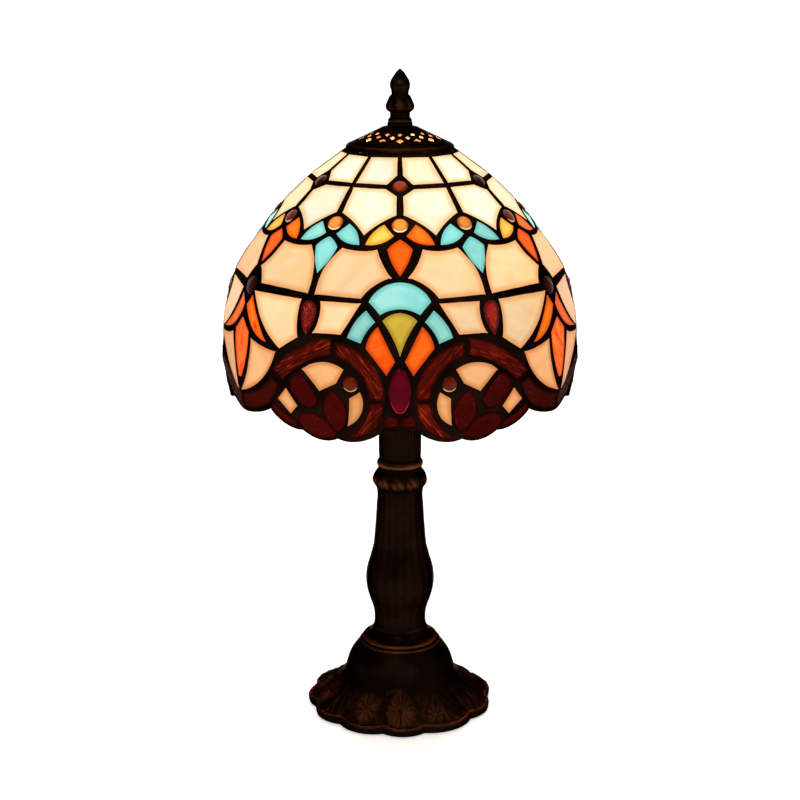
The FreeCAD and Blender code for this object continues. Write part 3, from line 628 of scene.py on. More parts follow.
PANES = {}
SHOWN_MORE = {                  # how much further the solder stays back from the glass of some nodes
    "scroll_bars_inner": 0.5,
    "scroll_bars_outer": 0.6,
    "scroll_bars_lower": 0.5,
    "scroll_leaves_maroon": 0.7,
    "throat_wedges": 0.5,
}


def read_panes():
    """Every pane of every glass node, by node name."""
    for node, body in BODY_OF.items():
        if body != "shade" or node in ("rim_ring", "leading"):
            continue
        welded, shapes = separate_shapes(node)
        PANES[node] = [Pane(*inner_face_loop(shape)) for shape in shapes]
        PANES[node].sort(key=lambda pane: math.atan2(pane.middle[0], -pane.middle[1]))
        for pane in PANES[node]:
            if node.startswith("kites"):
                pane.outline = cut_kite(pane.outline)
            pane.outline = grown(pane.outline, SHOWN_MORE.get(node, 0.0))
        welded.free()


read_panes()


# ---------------------------------------------------------------- panes of glass
def two_sided(triangles, count):
    """Faces of a closed shell: the triangles, their copies count points further on, and the walls between."""
    directed = {(a, b) for triangle in triangles for a, b in zip(triangle, triangle[1:] + triangle[:1])}
    back = [[point + count for point in reversed(triangle)] for triangle in triangles]
    walls = [[b, a, a + count, b + count] for a, b in sorted(directed) if (b, a) not in directed]
    return triangles + back + walls


def rolled(grain, edge, seed):
    """Hand-rolled opalescent sheet: almost flat, with slow waves."""
    return 0.11 * wavering(grain, 8.0, seed) + 0.035 * wavering(grain, 2.4, seed)


def rippled(grain, edge, seed):
    """Ripple glass: sharp little waves that run along the bar."""
    stretched = grain * np.array([0.30, 1.0, 1.0])
    waves = 1.0 - 2.0 * np.abs(wavering(stretched, 1.25, seed))
    return 0.30 * waves + 0.12 * wavering(grain, 1.1, seed + 7.0)


def hammered(grain, edge, seed):
    """Hammered glass: small round dents."""
    dents = np.abs(wavering(grain, 1.9, seed))
    return 0.10 - 0.42 * dents + 0.06 * wavering(grain, 0.8, seed + 3.0)


def domed(grain, edge, seed):
    """Cabochon: a round dome that falls to its girdle beside the solder."""
    full = edge.max()
    dome = np.sqrt(np.clip(1 - (1 - edge / full) ** 2, 0, 1))
    return -0.4 + 1.55 * dome + 0.03 * wavering(grain, 2.0, seed)


def pressed(grain, edge, seed):
    """Pressed drop: two long facets that meet in a keel, with chips along them."""
    full = edge.max()
    chips = 1.0 - 2.0 * np.abs(wavering(grain * np.array([0.4, 1.0, 1.0]), 1.3, seed))
    return 0.1 + 1.1 * edge / full + 0.42 * chips


PANE_STYLES = {                  # node: (relief, spacing of the mesh in mm, grain follows the long side)
    "scroll_bars_inner": (rippled, 0.55, True),
    "scroll_bars_outer": (rippled, 0.55, True),
    "scroll_bars_lower": (rippled, 0.55, True),
    "swag_bars": (rippled, 0.55, True),
    "throat_wedges": (rippled, 0.55, True),
    "scroll_leaves_maroon": (hammered, 0.6, True),
    "crown_jewels": (domed, 0.5, False),
    "garland_jewels": (domed, 0.5, False),
    "tulip_buds": (domed, 0.5, False),
    "scroll_jewels": (domed, 0.5, False),
    "ruby_cabochons": (domed, 0.6, True),
    "drop_jewels_red": (pressed, 0.4, True),
}
PLAIN_STYLE = (rolled, 1.3, False)


def long_direction(outline):
    """Unit vector along the outline's long side."""
    centred = outline - outline.mean(axis=0)
    _, _, axes = np.linalg.svd(centred, full_matrices=False)
    return axes[0]


def bulb_light(points, normals):
    """Painted light: how brightly the glass's painted glow is set at each point of the shade, as the bulb
    would light it: near 1 on the body, more at the crown.
    """
    away = points - np.array(BULB_MIDDLE)
    reach = np.linalg.norm(away, axis=1)
    facing = np.clip(np.sum(away * normals, axis=1) / reach, 0, 1)
    return 0.70 + 0.38 * facing * (90.0 / reach) ** 2


def glass_piece(node):
    """All panes of one CAD node as one piece, each with its own relief and tone."""
    relief, spacing, follows = PANE_STYLES.get(node, PLAIN_STYLE)
    rng = np.random.default_rng(sum(node.encode()))
    vertices, faces = [], []
    collected = {"edge": [], "grain": [], "tone": [], "light": [], "outward": [], "low": []}
    count = 0
    for pane in PANES[node]:
        rim = grown(pane.outline, GLASS_TUCK)
        grid = staggered_grid(rim.min(axis=0), rim.max(axis=0), spacing)
        grid = grid[inside_outline(grid, rim)]
        grid = grid[outline_distance(grid, rim) > 0.55 * spacing]
        flat = np.concatenate([rim, grid])
        made = delaunay_2d_cdt([Vector(point) for point in flat], [], [list(range(len(rim)))], 1, 1e-7)
        flat = np.array([point[:] for point in made[0]])
        triangles = [list(face) for face in made[2]]
        edge = np.where(inside_outline(flat, pane.outline), outline_distance(flat, pane.outline), 0.0)
        turn = rng.uniform(0, math.pi)
        direction = long_direction(pane.outline) if follows else np.array([math.cos(turn), math.sin(turn)])
        sideways = np.array([-direction[1], direction[0]])
        shift = rng.uniform(0, 900)
        grain = np.stack([flat @ direction + shift, flat @ sideways + shift, np.zeros(len(flat))], axis=1)
        front = GLASS_HALF + relief(grain, edge, shift)
        back = -GLASS_HALF + 0.06 * wavering(grain, 6.0, shift)
        both = np.concatenate([pane.to_space(flat, front), pane.to_space(flat, back)])
        normals = np.repeat(pane.normal[None, :], len(both), axis=0)
        faces += [[index + count for index in face] for face in two_sided(triangles, len(flat))]
        vertices.append(both)
        collected["edge"].append(np.tile(edge, 2))
        collected["grain"].append(np.tile(grain, (2, 1)))
        collected["tone"].append(np.full(len(both), rng.uniform(0, 1)))
        collected["light"].append(bulb_light(both, normals))
        collected["outward"].append(normals)
        collected["low"].append(np.tile(-flat[:, 1] / np.abs(pane.outline[:, 1]).max(), 2))
        count += len(both)
    attributes = {key: np.concatenate(values) for key, values in collected.items()}
    slot = SLOT_OF[node]
    finish = NODE_FINISHES.get(node, FINISHES[slot])
    piece = new_piece("glass_" + node, np.concatenate(vertices), faces, finish, 50, attributes)
    return stand_for(piece, node)


for glass_node in sorted(PANES):
    glass_piece(glass_node)


# ---------------------------------------------------------------- the solder net
class OutlineIndex:
    """Finds the nearest outline points of the windows, in space."""

    def __init__(self, points, values):
        self.values = values
        self.tree = kdtree.KDTree(len(points))
        for index, point in enumerate(points):
            self.tree.insert(Vector(point), index)
        self.tree.balance()

    def distance(self, points):
        return np.array([self.tree.find(Vector(point))[2] for point in points])

    def blended(self, points, count=14):
        """Average of the nearest points' values, the nearest ones counting most."""
        found = []
        for point in points:
            near = self.tree.find_n(Vector(point), count)
            weights = [1.0 / (away + 0.15) ** 2 for _, _, away in near]
            total = sum(weight * self.values[index] for weight, (_, index, _) in zip(weights, near))
            found.append(total / sum(weights))
        return np.array(found)


def window_outlines():
    """Every window in or beside the first sector, as azimuths, distances and offsets from the wall."""
    windows = []
    for node in sorted(PANES):
        for pane in PANES[node]:
            azimuth, s, offset = on_section(pane.to_space(pane.outline, 0.0))
            middle = math.atan2(pane.middle[0], -pane.middle[1])
            azimuth = middle + (azimuth - middle + math.pi) % (2 * math.pi) - math.pi
            if azimuth.max() > -0.09 and azimuth.min() < SECTOR + 0.09:
                windows.append((azimuth, s, offset))
    return windows


def straight(start, end, count):
    """Evenly spaced points from start to end, without the last."""
    return start + np.linspace(0, 1, count, endpoint=False)[:, None] * (end - start)


def three_point_arc(start, via, end, count):
    """Points along the arc through three points, without the last; a straight run if they are in line."""
    start, via, end = (np.array(point[:2], dtype=float) for point in (start, via, end))
    cross = np.cross(via - start, end - start)
    if abs(cross) < 1e-6:
        return straight(start, end, count)
    rows = 2 * np.array([via - start, end - start])
    centre = np.linalg.solve(rows, [via @ via - start @ start, end @ end - start @ start])
    radius = np.linalg.norm(start - centre)
    first = math.atan2(*(start - centre)[::-1])
    sweep = (math.atan2(*(end - centre)[::-1]) - first) % (2 * math.pi)
    if cross < 0:
        sweep -= 2 * math.pi
    angle = straight(first, first + sweep, count)
    return centre + radius * np.concatenate([np.cos(angle), np.sin(angle)], axis=1)


def hem_line(spacing):
    """The lower edge of the net over one sector: azimuths in radians and distances down the section."""
    points = []
    for start, via, end in HEM_LOBES:
        stretch = 1.70                                  # millimetres in a degree of azimuth near the hem
        flat = [(azimuth * stretch, s) for azimuth, s in (start, via, end)]
        count = max(3, int(round(np.linalg.norm(np.subtract(flat[2], flat[0])) / spacing)))
        points.append(three_point_arc(*flat, count) / np.array([stretch, 1.0]))
    points = np.concatenate(points + [np.array([HEM_LOBES[-1][-1]])])
    return np.radians(points[:, 0]), points[:, 1]


def sector_border(hem, first_s, last_s):
    """Border of the sector on the conformal map: sides, crown, and the hem from first_s to last_s."""
    def side(azimuth, end):
        return np.stack([np.full(190, azimuth), level(np.linspace(0, end, 192)[1:-1])], axis=1)

    crown = np.stack([np.linspace(0, SECTOR, 40), np.full(40, level(0.0))], axis=1)
    return np.concatenate([hem, side(SECTOR, last_s)[::-1], crown[::-1], side(0.0, first_s)])


def grid_rows(low, high, spacing):
    """Points of a triangular grid over the sector, evenly spaced on the wall itself."""
    rows, s = [], low
    while s < high:
        radius = float(section(s)[0])
        x = np.arange((len(rows) % 2) * 0.5 * spacing / radius, SECTOR, spacing / radius)
        rows.append(np.stack([x, np.full(x.shape, level(s))], axis=1))
        s += spacing * math.sqrt(0.75)
    return np.concatenate(rows)


def clear_of(edges, spots, gap):
    """Those of the map's spots that lie inside the sector and further than a gap from the windows' edges."""
    spots = spots[(spots[:, 0] > SECTOR_MARGIN) & (spots[:, 0] < SECTOR - SECTOR_MARGIN)]
    return spots[edges.distance(wall_point(spots[:, 0], distance_at(spots[:, 1]))) > gap]


def net_sector():
    """One sector of the solder net: points in space and faces, thick, with its bead on both sides."""
    windows = window_outlines()
    outline_points = np.concatenate([wall_point(azimuth, s) for azimuth, s, _ in windows])
    index = OutlineIndex(outline_points, np.concatenate([offset for _, _, offset in windows]))
    fine = []
    for azimuth, s, _ in windows:
        for share in (0.0, 0.25, 0.5, 0.75):
            fine.append(wall_point(azimuth + share * (np.roll(azimuth, -1) - azimuth),
                                   s + share * (np.roll(s, -1) - s)))
    edges = OutlineIndex(np.concatenate(fine), None)
    hem_azimuth, hem_s = hem_line(0.8)
    hem_index = OutlineIndex(wall_point(*hem_line(0.2)), None)

    # Points on the conformal map: the sector's border, the windows, rows beside them and the hem, and a grid.
    hem = np.stack([hem_azimuth, level(hem_s)], axis=1)
    points = [sector_border(hem, hem_s[0], hem_s[-1])]
    loops = [list(range(len(points[0])))]
    count = len(points[0])
    beside = []
    for azimuth, s, _ in windows:
        window = np.stack([azimuth, level(s)], axis=1)
        ahead = np.roll(window, -1, axis=0)
        if np.sum(window[:, 0] * ahead[:, 1] - ahead[:, 0] * window[:, 1]) < 0:
            window = window[::-1]
        points.append(window)
        loops.append(list(range(count, count + len(window))))
        count += len(window)
        radius = section(distance_at(window[:, 1]))[0][:, None]
        for away in (0.38, 0.85):
            beside.append(window + (grown(window * radius.mean(), away) - window * radius.mean()) / radius)
    hem_radius = section(hem_s)[0][:, None]
    inwards = unit(np.stack([-np.gradient(hem[:, 1]), np.gradient(hem[:, 0])], axis=1))
    beside += [hem + inwards * away / hem_radius for away in (0.35, 0.85)]
    points.append(clear_of(edges, np.concatenate(beside), 0.33))
    points.append(clear_of(edges, grid_rows(0.5, 176.0, NET_SPACING), 1.15))
    flat, triangles = triangulated(np.concatenate(points), loops)

    azimuth, s = flat[:, 0], distance_at(flat[:, 1])
    middle = wall_point(azimuth, s)
    from_glass = np.minimum(edges.distance(middle), BEAD_WIDTH)
    from_hem = np.minimum(hem_index.distance(middle), HEM_ROUND)
    from_hem[from_hem < 0.12] = 0.0
    seat = index.blended(middle)
    crest = np.sqrt(1 - (1 - from_glass / BEAD_WIDTH) ** 2)
    fade = np.sqrt(1 - (1 - from_hem / HEM_ROUND) ** 2)
    uneven = 0.09 * wavering(middle, 6.0) + 0.05 * wavering(middle, 2.2, 5.0)
    outer = seat + (SOLDER_HALF + (BEAD_HEIGHT + uneven) * crest) * fade
    inner = seat - (SOLDER_HALF + (0.75 * BEAD_HEIGHT - uneven) * crest) * fade
    return azimuth, s, outer, inner, triangles


def leading_pieces():
    """The solder net in three equal pieces, each two mirrored sectors."""
    azimuth, s, outer, inner, triangles = net_sector()
    count = len(azimuth)
    for name, turn in (("front", 0), ("right", 120), ("left", 240)):
        shell = bmesh.new()
        for hand in (1, -1):
            spread = hand * azimuth + math.radians(turn)
            spots = np.concatenate([wall_point(spread, s, outer), wall_point(spread, s, inner)])
            made = [shell.verts.new(spot * MM) for spot in spots]
            for face in two_sided(triangles, count):
                if all(abs(azimuth[point % count]) < 1e-5 for point in face):
                    continue
                corners = [made[point] for point in (face if hand == 1 else reversed(face))]
                shell.faces.new(corners)
        bmesh.ops.remove_doubles(shell, verts=shell.verts, dist=2e-6)
        bmesh.ops.dissolve_degenerate(shell, edges=shell.edges, dist=1e-6)
        bmesh.ops.triangulate(shell, faces=shell.faces)
        bmesh.ops.recalc_face_normals(shell, faces=shell.faces)
        mesh = bpy.data.meshes.new("leading_" + name)
        shell.to_mesh(mesh)
        shell.free()
        spots = np.empty(len(mesh.vertices) * 3)
        mesh.vertices.foreach_get("co", spots)
        spots = spots.reshape(-1, 3) / MM
        wear = np.clip(0.5 + 0.5 * wavering(spots, 14.0, 2.0), 0, 1) ** 2
        stand_for(piece_of(mesh, SOLDER, 55, {"wear": wear}), "leading")


leading_pieces()


# ---------------------------------------------------------------- base castings
VIA = "via"                     # marks the middle point of an arc in an outline
LOBE_R = 56.4                   # outermost radius of the foot's leaf lobes
NOTCH_R = 52.9                  # radius of the notches between the lobes
NOTCHES = [-74, -43, -11, 16, 54, 86, 122, 163, 197, 228, 257]
FOOT_BOTTOM = 0.8
CORD_FACE_Y = 52.6              # flat at the back of the foot round the cord inlet
CORD_Z = 7.0
BOSS_R = 6.2
ROD_CLEAR_R = 5.25
RIM_ROUND = 0.55                # rounding of the foot's upper edge
LEAF_INNER_R = 34.0             # where the dome of the foot runs out into the leaf
FOOT_REEDS = 110                # fine reeds round the foot's dome
FLUTES = 22                     # reeds round the column
NECK_REEDS = 40
COLLAR_KNOBS = 11
DAISIES = [                     # (azimuth, distance from the axis, radius, petals)
    (27.0, 47.0, 5.2, 8),
    (118.0, 45.5, 5.8, 9),
    (141.0, 46.0, 5.2, 8),
    (-96.0, 46.0, 5.8, 9),
    (-122.0, 45.5, 5.0, 8),
]
LILY_LEAVES = [                 # (azimuth, distance from the axis, radius, veins)
    (0.5, 43.4, 9.6, 15),
    (-27.0, 44.0, 8.4, 9),
    (178.0, 42.0, 8.0, 13),
    (-75.0, 44.0, 8.6, 11),
]


def traced(outline, spacing):
    """Evenly spaced points along an (r, z) outline with arcs."""
    points, index = [], 0
    while index < len(outline) - 1:
        start, following = outline[index], outline[index + 1]
        if len(following) == 3:
            end = outline[index + 2]
            length = 1.1 * math.dist(start[:2], end[:2])
            points.append(three_point_arc(start, following, end, max(3, int(length / spacing))))
            index += 2
        else:
            count = max(1, int(math.dist(start[:2], following[:2]) / spacing))
            points.append(straight(np.array(start[:2]), np.array(following[:2]), count))
            index += 1
    return np.concatenate(points + [np.array([outline[-1][:2]], dtype=float)])


def hump(values, middle, half_width):
    """Rounded ridge, 1 at its middle and 0 from half_width away."""
    x = np.clip(np.abs(values - middle) / half_width, 0, 1)
    return (1 - x * x) ** 2


def casting(node, reach, height, relief, wear, round_axis=True):
    """A turned casting from rows of points: reach and height are (rows, columns), relief stands out.

    With round_axis the last row joins the first, round a bore. Without it both lie on the axis.
    """
    rows, columns = reach.shape
    turn = np.linspace(0, 2 * math.pi, columns, endpoint=False)[None, :]
    down_r = np.roll(reach, -1, axis=0) - np.roll(reach, 1, axis=0)
    down_z = np.roll(height, -1, axis=0) - np.roll(height, 1, axis=0)
    size = np.maximum(np.hypot(down_r, down_z), 1e-9)
    out_r, out_z = -down_z / size, down_r / size
    r = reach + relief * out_r
    z = height + relief * out_z
    points = np.stack([r * np.sin(turn), -r * np.cos(turn), z], axis=-1).reshape(-1, 3)
    row, column = np.meshgrid(np.arange(rows), np.arange(columns), indexing="ij")
    here, below = row * columns, (row + 1) % rows * columns
    beside = (column + 1) % columns
    faces = np.stack([here + column, here + beside, below + beside, below + column], axis=-1)
    if not round_axis:
        faces = faces[:-1]
    piece = new_piece("cast_" + node, points, faces.reshape(-1, 4), BRONZE, 60,
                      {"wear": np.clip(wear, 0, 1).ravel()})
    if not round_axis:
        closed = bmesh.new()
        closed.from_mesh(piece.data)
        bmesh.ops.remove_doubles(closed, verts=closed.verts, dist=1e-7)
        closed.to_mesh(piece.data)
        closed.free()
    return stand_for(piece, node)


def turned(outline, columns):
    """Azimuths in radians, with the outline's radii and heights at each of them."""
    turn = np.linspace(0, 2 * math.pi, columns, endpoint=False)[None, :]
    return turn, outline[:, :1] * np.ones_like(turn), outline[:, 1:] * np.ones_like(turn)


def leaf_edge(azimuth):
    """Radius of the foot's lobed edge at azimuths in degrees, and the place within the lobe from -1 to 1."""
    edge = np.zeros(azimuth.shape)
    within = np.zeros(azimuth.shape)
    for first, last in zip(NOTCHES, NOTCHES[1:] + [NOTCHES[0] + 360]):
        share = ((azimuth - first) % 360) / (last - first)
        inside = share <= 1
        across = 2 * share[inside] - 1
        within[inside] = across
        edge[inside] = NOTCH_R + (LOBE_R - NOTCH_R) * (1 - across ** 2)
    return edge, within


def from_middle(azimuth, reach, middle_azimuth, middle_reach, size):
    """Distance from a flower's middle, in its own radii, and the direction there."""
    away_x = reach * np.sin(np.radians(azimuth - middle_azimuth))
    away_y = reach * np.cos(np.radians(azimuth - middle_azimuth)) - middle_reach
    return np.hypot(away_x, away_y) / size, np.arctan2(away_x, away_y)


def daisy(away, angle, petals):
    """Low relief of a daisy on the leaf."""
    petal = (0.5 + 0.5 * np.cos(petals * angle)) ** 0.7
    ring = np.clip(1 - np.abs(away - 0.6) / 0.42, 0, 1) ** 0.6
    button = np.sqrt(np.clip(1 - (away / 0.24) ** 2, 0, 1))
    return np.maximum(petal * ring * 0.9, button)


def lily_leaf(away, angle, veins):
    """Low relief of a round lily leaf: a pit where its stalk joins, and veins cut from there to its edge."""
    turn = angle / (2 * math.pi) * veins
    cut = np.exp(-((turn - np.round(turn)) / 0.13) ** 2) * np.clip(3 * away, 0, 1)
    plate = np.clip((1 - away) / 0.5, 0, 1) ** 0.6
    pit = np.clip(1 - away / 0.16, 0, 1)
    return np.clip(plate * (0.5 + 0.3 * away - 0.55 * cut - 0.8 * pit), 0, 1)


def leaf_relief(azimuth, edge, within, from_back, leaf_r, leaf_z):
    """Relief and wear of the foot's leaf: rim, veins, notches, daisies and lily leaves."""
    spots = np.stack([leaf_r * np.sin(np.radians(azimuth)), leaf_r * np.cos(np.radians(azimuth)), leaf_z],
                     axis=-1).reshape(-1, 3)
    outwards = (leaf_r - LEAF_INNER_R) / (edge[None, :] - LEAF_INNER_R)
    fade = np.clip(outwards / 0.25, 0, 1) * np.clip((leaf_r - 33.0) / 3.0, 0, 1)
    from_edge = edge[None, :] - leaf_r
    quiet = np.clip((from_back[None, :] * leaf_r * math.pi / 180 - 8.0) / 3.0, 0, 1)
    across = within[None, :] * np.ones_like(leaf_r)
    notch = np.exp(-((1 - np.abs(across)) * 13.0) ** 2)
    midrib = np.exp(-(across * 11.0) ** 2)
    branches = np.abs(across) * 2.6 - 2.3 * outwards
    side_veins = np.exp(-((branches - np.round(branches)) / 0.11) ** 2) * np.clip(6 * np.abs(across), 0, 1)
    rim = hump(from_edge, 1.3, 1.3)
    hollow = hump(from_edge, 4.2, 3.2)
    swell = 0.35 * wavering(spots, 7.0, 4.0).reshape(leaf_r.shape)
    flowers = np.zeros_like(leaf_r)
    for motif, places in ((daisy, DAISIES), (lily_leaf, LILY_LEAVES)):
        for *place, parts in places:
            flowers = np.maximum(flowers, motif(*from_middle(azimuth[None, :], leaf_r, *place), parts))
    relief = fade * (0.42 * midrib + 0.26 * side_veins - 0.55 * notch) + 0.55 * rim - 0.22 * hollow * fade
    relief = (relief + swell * fade * 0.6) * (1 - np.clip(flowers * 3, 0, 1)) + 0.95 * flowers
    rubbed = np.clip(0.5 + 0.6 * wavering(spots, 9.0, 11.0).reshape(leaf_r.shape), 0, 1)
    wear = (0.5 * rim + 0.12 * midrib * fade + 0.10 * side_veins * fade + 0.42 * flowers
            + 0.10 * fade * rubbed)
    return relief * quiet, quiet * np.clip(wear, 0, 1) * (0.4 + 0.6 * rubbed)


def foot_piece():
    """Lily-pad foot: lobed edge with a rolled rim, veins and flowers on the leaf, reeds under two beads."""
    columns = 660
    azimuth = np.linspace(0, 360, columns, endpoint=False)
    edge, within = leaf_edge(azimuth)
    from_back = np.abs(azimuth - 180)
    behind = np.where(from_back < 9, CORD_FACE_Y / np.cos(np.radians(from_back)), 99.0)
    edge = np.minimum(edge, behind)
    leaf = traced([(31.9, 26.9), (32.5, 25.4), (33.0, 24.0), (34.2, 20.6, VIA), (36.9, 17.0),
                   (43.8, 11.0, VIA), (52.0, 5.8), (60.0, 3.4)], 0.3)
    leaf = leaf[np.argsort(leaf[:, 0])]
    top = traced([(ROD_CLEAR_R, 49.0), (16.6, 49.0), (17.0, 47.8), (18.5, 45.6, VIA), (20.6, 44.2),
                  (21.3, 44.0), (22.6, 43.2, VIA), (22.4, 42.1), (22.5, 41.8, VIA), (23.0, 41.6),
                  (24.3, 41.0, VIA), (24.5, 40.1), (28.9, 34.0, VIA), (32.0, 26.8)], 0.35)
    under = traced([(47.3, FOOT_BOTTOM), (47.3, 2.65), (45.5, 2.65), (45.5, 6.0), (37.0, 11.5), (30.5, 18.5),
                    (28.0, 26.0), (20.5, 37.0), (13.0, 42.0), (ROD_CLEAR_R, 42.0)], 2.5)
    spread = np.linspace(0, 1, 74)[1:, None]
    rim_r = edge - RIM_ROUND
    leaf_r = 32.1 + spread * (rim_r[None, :] - 32.1)
    leaf_z = np.interp(leaf_r, leaf[:, 0], leaf[:, 1])
    x = leaf_r * np.sin(np.radians(azimuth))
    arch = CORD_Z + np.sqrt(np.clip(BOSS_R ** 2 - x ** 2, 0, None))
    boss = np.where((from_back < 30) & (leaf_r > 36) & (np.abs(x) <= BOSS_R), arch, 0.0)
    leaf_z = np.maximum(leaf_z, boss)
    rim_z = leaf_z[-1]
    fall = np.radians([30, 60, 90])[:, None]
    roll_r = rim_r + RIM_ROUND * np.sin(fall)
    roll_z = rim_z - RIM_ROUND + RIM_ROUND * np.cos(fall)
    share = np.linspace(0, 1, 7)[1:, None]
    wall_r = edge - 0.5 * share ** 2
    wall_z = rim_z - RIM_ROUND + share * (FOOT_BOTTOM - rim_z + RIM_ROUND)
    full = np.ones((1, columns))
    reach = np.concatenate([top[:, :1] * full, leaf_r, roll_r, wall_r, under[:, :1] * full])
    height = np.concatenate([top[:, 1:] * full, leaf_z, roll_z, wall_z, under[:, 1:] * full])

    relief = np.zeros(reach.shape)
    wear = np.zeros(reach.shape)
    turn = np.broadcast_to(azimuth, reach.shape)
    top_rows = len(top)
    outside = reach[:top_rows] > 18
    bead = 0.8 * hump(height[:top_rows], 43.1, 1.4) + 0.6 * hump(height[:top_rows], 40.9, 0.8)
    wear[:top_rows] = 0.7 * bead * outside
    reeds = 0.5 + 0.5 * np.cos(np.radians(turn * FOOT_REEDS))
    reed_band = hump(height, 31.0, 5.6) * (height < 36.4)
    relief += 0.2 * reeds * np.clip(1.6 * reed_band, 0, 1)
    wear += 0.05 * reeds * reed_band
    leaf_rows = slice(top_rows, top_rows + len(leaf_r))
    on_leaf, worn = leaf_relief(azimuth, edge, within, from_back, leaf_r, leaf_z)
    relief[leaf_rows] += on_leaf
    wear[leaf_rows] += worn
    wear[leaf_rows.stop:leaf_rows.stop + 2] = 0.2
    casting("base_foot", reach, height, relief, wear)


def column_piece():
    """Baluster column with shallow reeds."""
    outline = traced([(ROD_CLEAR_R, 49.0), (15.9, 49.0), (16.2, 49.3), (15.3, 54.5, VIA), (15.7, 60.5),
                      (17.4, 66.0), (20.3, 79.5, VIA), (17.9, 93.2), (15.6, 102.0), (14.4, 116.0, VIA),
                      (13.7, 128.0), (13.4, 133.0, VIA), (14.1, 137.8), (13.9, 138.0),
                      (ROD_CLEAR_R, 138.0)], 0.8)
    turn, reach, height = turned(outline, 528)
    reed = np.abs(np.cos(turn * FLUTES / 2)) ** 0.5
    fade = np.clip((height - 50.5) / 7, 0, 1) * np.clip((136.0 - height) / 6, 0, 1) * (reach > 12)
    worn = 0.02 * reed ** 3 * fade + 0.1 * hump(height, 49.5, 1.5) * (reach > 15)
    casting("column", reach, height, -0.26 * (1 - reed) * fade, worn)


def neck_piece():
    """Knobbed collar, bright bead and reeded neck."""
    outline = traced([(ROD_CLEAR_R, 138.0), (14.2, 138.0), (14.4, 138.3), (15.0, 139.4), (16.2, 143.0, VIA),
                      (15.0, 146.8), (12.9, 149.8), (12.9, 151.0), (13.9, 153.2, VIA), (12.7, 155.2),
                      (12.4, 157.0), (12.6, 185.6), (12.2, 186.0), (ROD_CLEAR_R, 186.0)], 0.4)
    turn, reach, height = turned(outline, 480)
    band = hump(height, 143.0, 4.9) * (reach > 11)
    knob = np.abs(np.cos(turn * COLLAR_KNOBS / 2 + 0.35)) ** 0.8
    curl = 0.5 + 0.5 * np.cos(turn * COLLAR_KNOBS * 2 + (height - 143) * 0.9)
    bead = hump(height, 153.2, 2.2) * (reach > 11)
    reed = np.abs(np.cos(turn * NECK_REEDS / 2)) ** 0.5
    shaft = np.clip((height - 156.5) / 2.5, 0, 1) * (reach > 11)
    relief = band * (0.45 * knob + 0.34 * curl * knob - 0.30) - 0.26 * (1 - reed) * shaft + 0.15 * bead
    worn = band * (0.5 * knob * (0.35 + 0.65 * curl)) + 0.9 * bead + 0.02 * reed ** 3 * shaft
    casting("neck", reach, height, relief, worn)


def finial_piece():
    """Turned finial: flange, reeded stem, lobed knop and a pointed bud."""
    outline = traced([(0, 368.0), (3.4, 368.0), (3.4, 366.0), (4.3, 366.0), (4.3, 354.35), (6.5, 354.35),
                      (6.9, 355.25, VIA), (6.3, 356.45), (5.6, 357.4), (5.6, 359.7), (7.6, 361.2),
                      (8.3, 363.2, VIA), (7.7, 365.4), (6.0, 369.0), (4.9, 369.9), (4.9, 371.2),
                      (5.2, 372.6), (5.5, 375.4, VIA), (4.4, 379.0), (2.5, 382.2), (0, 384.6)], 0.35)
    turn, reach, height = turned(outline, 240)
    outside = np.clip((np.arange(len(outline))[:, None] - np.argmax(outline[:, 0] > 6.0)) / 3, 0, 1)
    knop = hump(height, 364.2, 4.6) * outside
    bud = hump(height, 376.4, 5.6) * outside
    stem = np.clip((height - 357.2) / 1.0, 0, 1) * np.clip((360.0 - height) / 1.0, 0, 1) * outside
    lobes = np.abs(np.cos(turn * 4))
    relief = (0.5 * (lobes ** 0.6 - 0.8) * knop + 0.4 * (np.abs(np.cos(turn * 3 + 0.4)) ** 0.6 - 0.8) * bud
              - 0.14 * (1 - np.abs(np.cos(turn * 12)) ** 0.5) * stem)
    worn = 0.25 * lobes ** 2 * knop + 0.12 * bud + 0.3 * hump(height, 355.3, 1.2) * outside
    casting("finial", reach, height, relief, worn, round_axis=False)


foot_piece()
column_piece()
neck_piece()
finial_piece()


# ---------------------------------------------------------------- pierced cap
CAP_WALL = 0.9
CAP_HOLES = 14                  # diamonds in each row
CAP_OUTLINE = [(3.4, 352.2), (7.6, 352.2), (9.4, 352.0, VIA), (11.2, 351.2), (24.0, 345.1), (28.7, 342.85),
               (30.6, 341.6, VIA), (31.15, 339.9), (31.1, 339.3)]
CAP_DIAMONDS = [                # (distance from the axis, half width, half length, place in the pitch)
    (22.4, 2.1, 2.0, 0.0),
    (19.2, 1.6, 1.6, -0.5),
    (16.3, 1.4, 1.4, 0.0),
]
CAP_CUT = (-0.736, 0.264)       # where the repeated piece begins and ends, in pitches, clear of every diamond
CAP_FLAT = [(11.2, 351.2), (24.0, 345.1)]           # the outline's straight stretch, which holds the diamonds


def straight_sides(corners, counts):
    """A closed outline through the corners, with a count of points along each side."""
    corners = np.array(corners)
    return np.concatenate([straight(first, second, count)
                           for first, second, count in zip(corners, np.roll(corners, -1, axis=0), counts)])


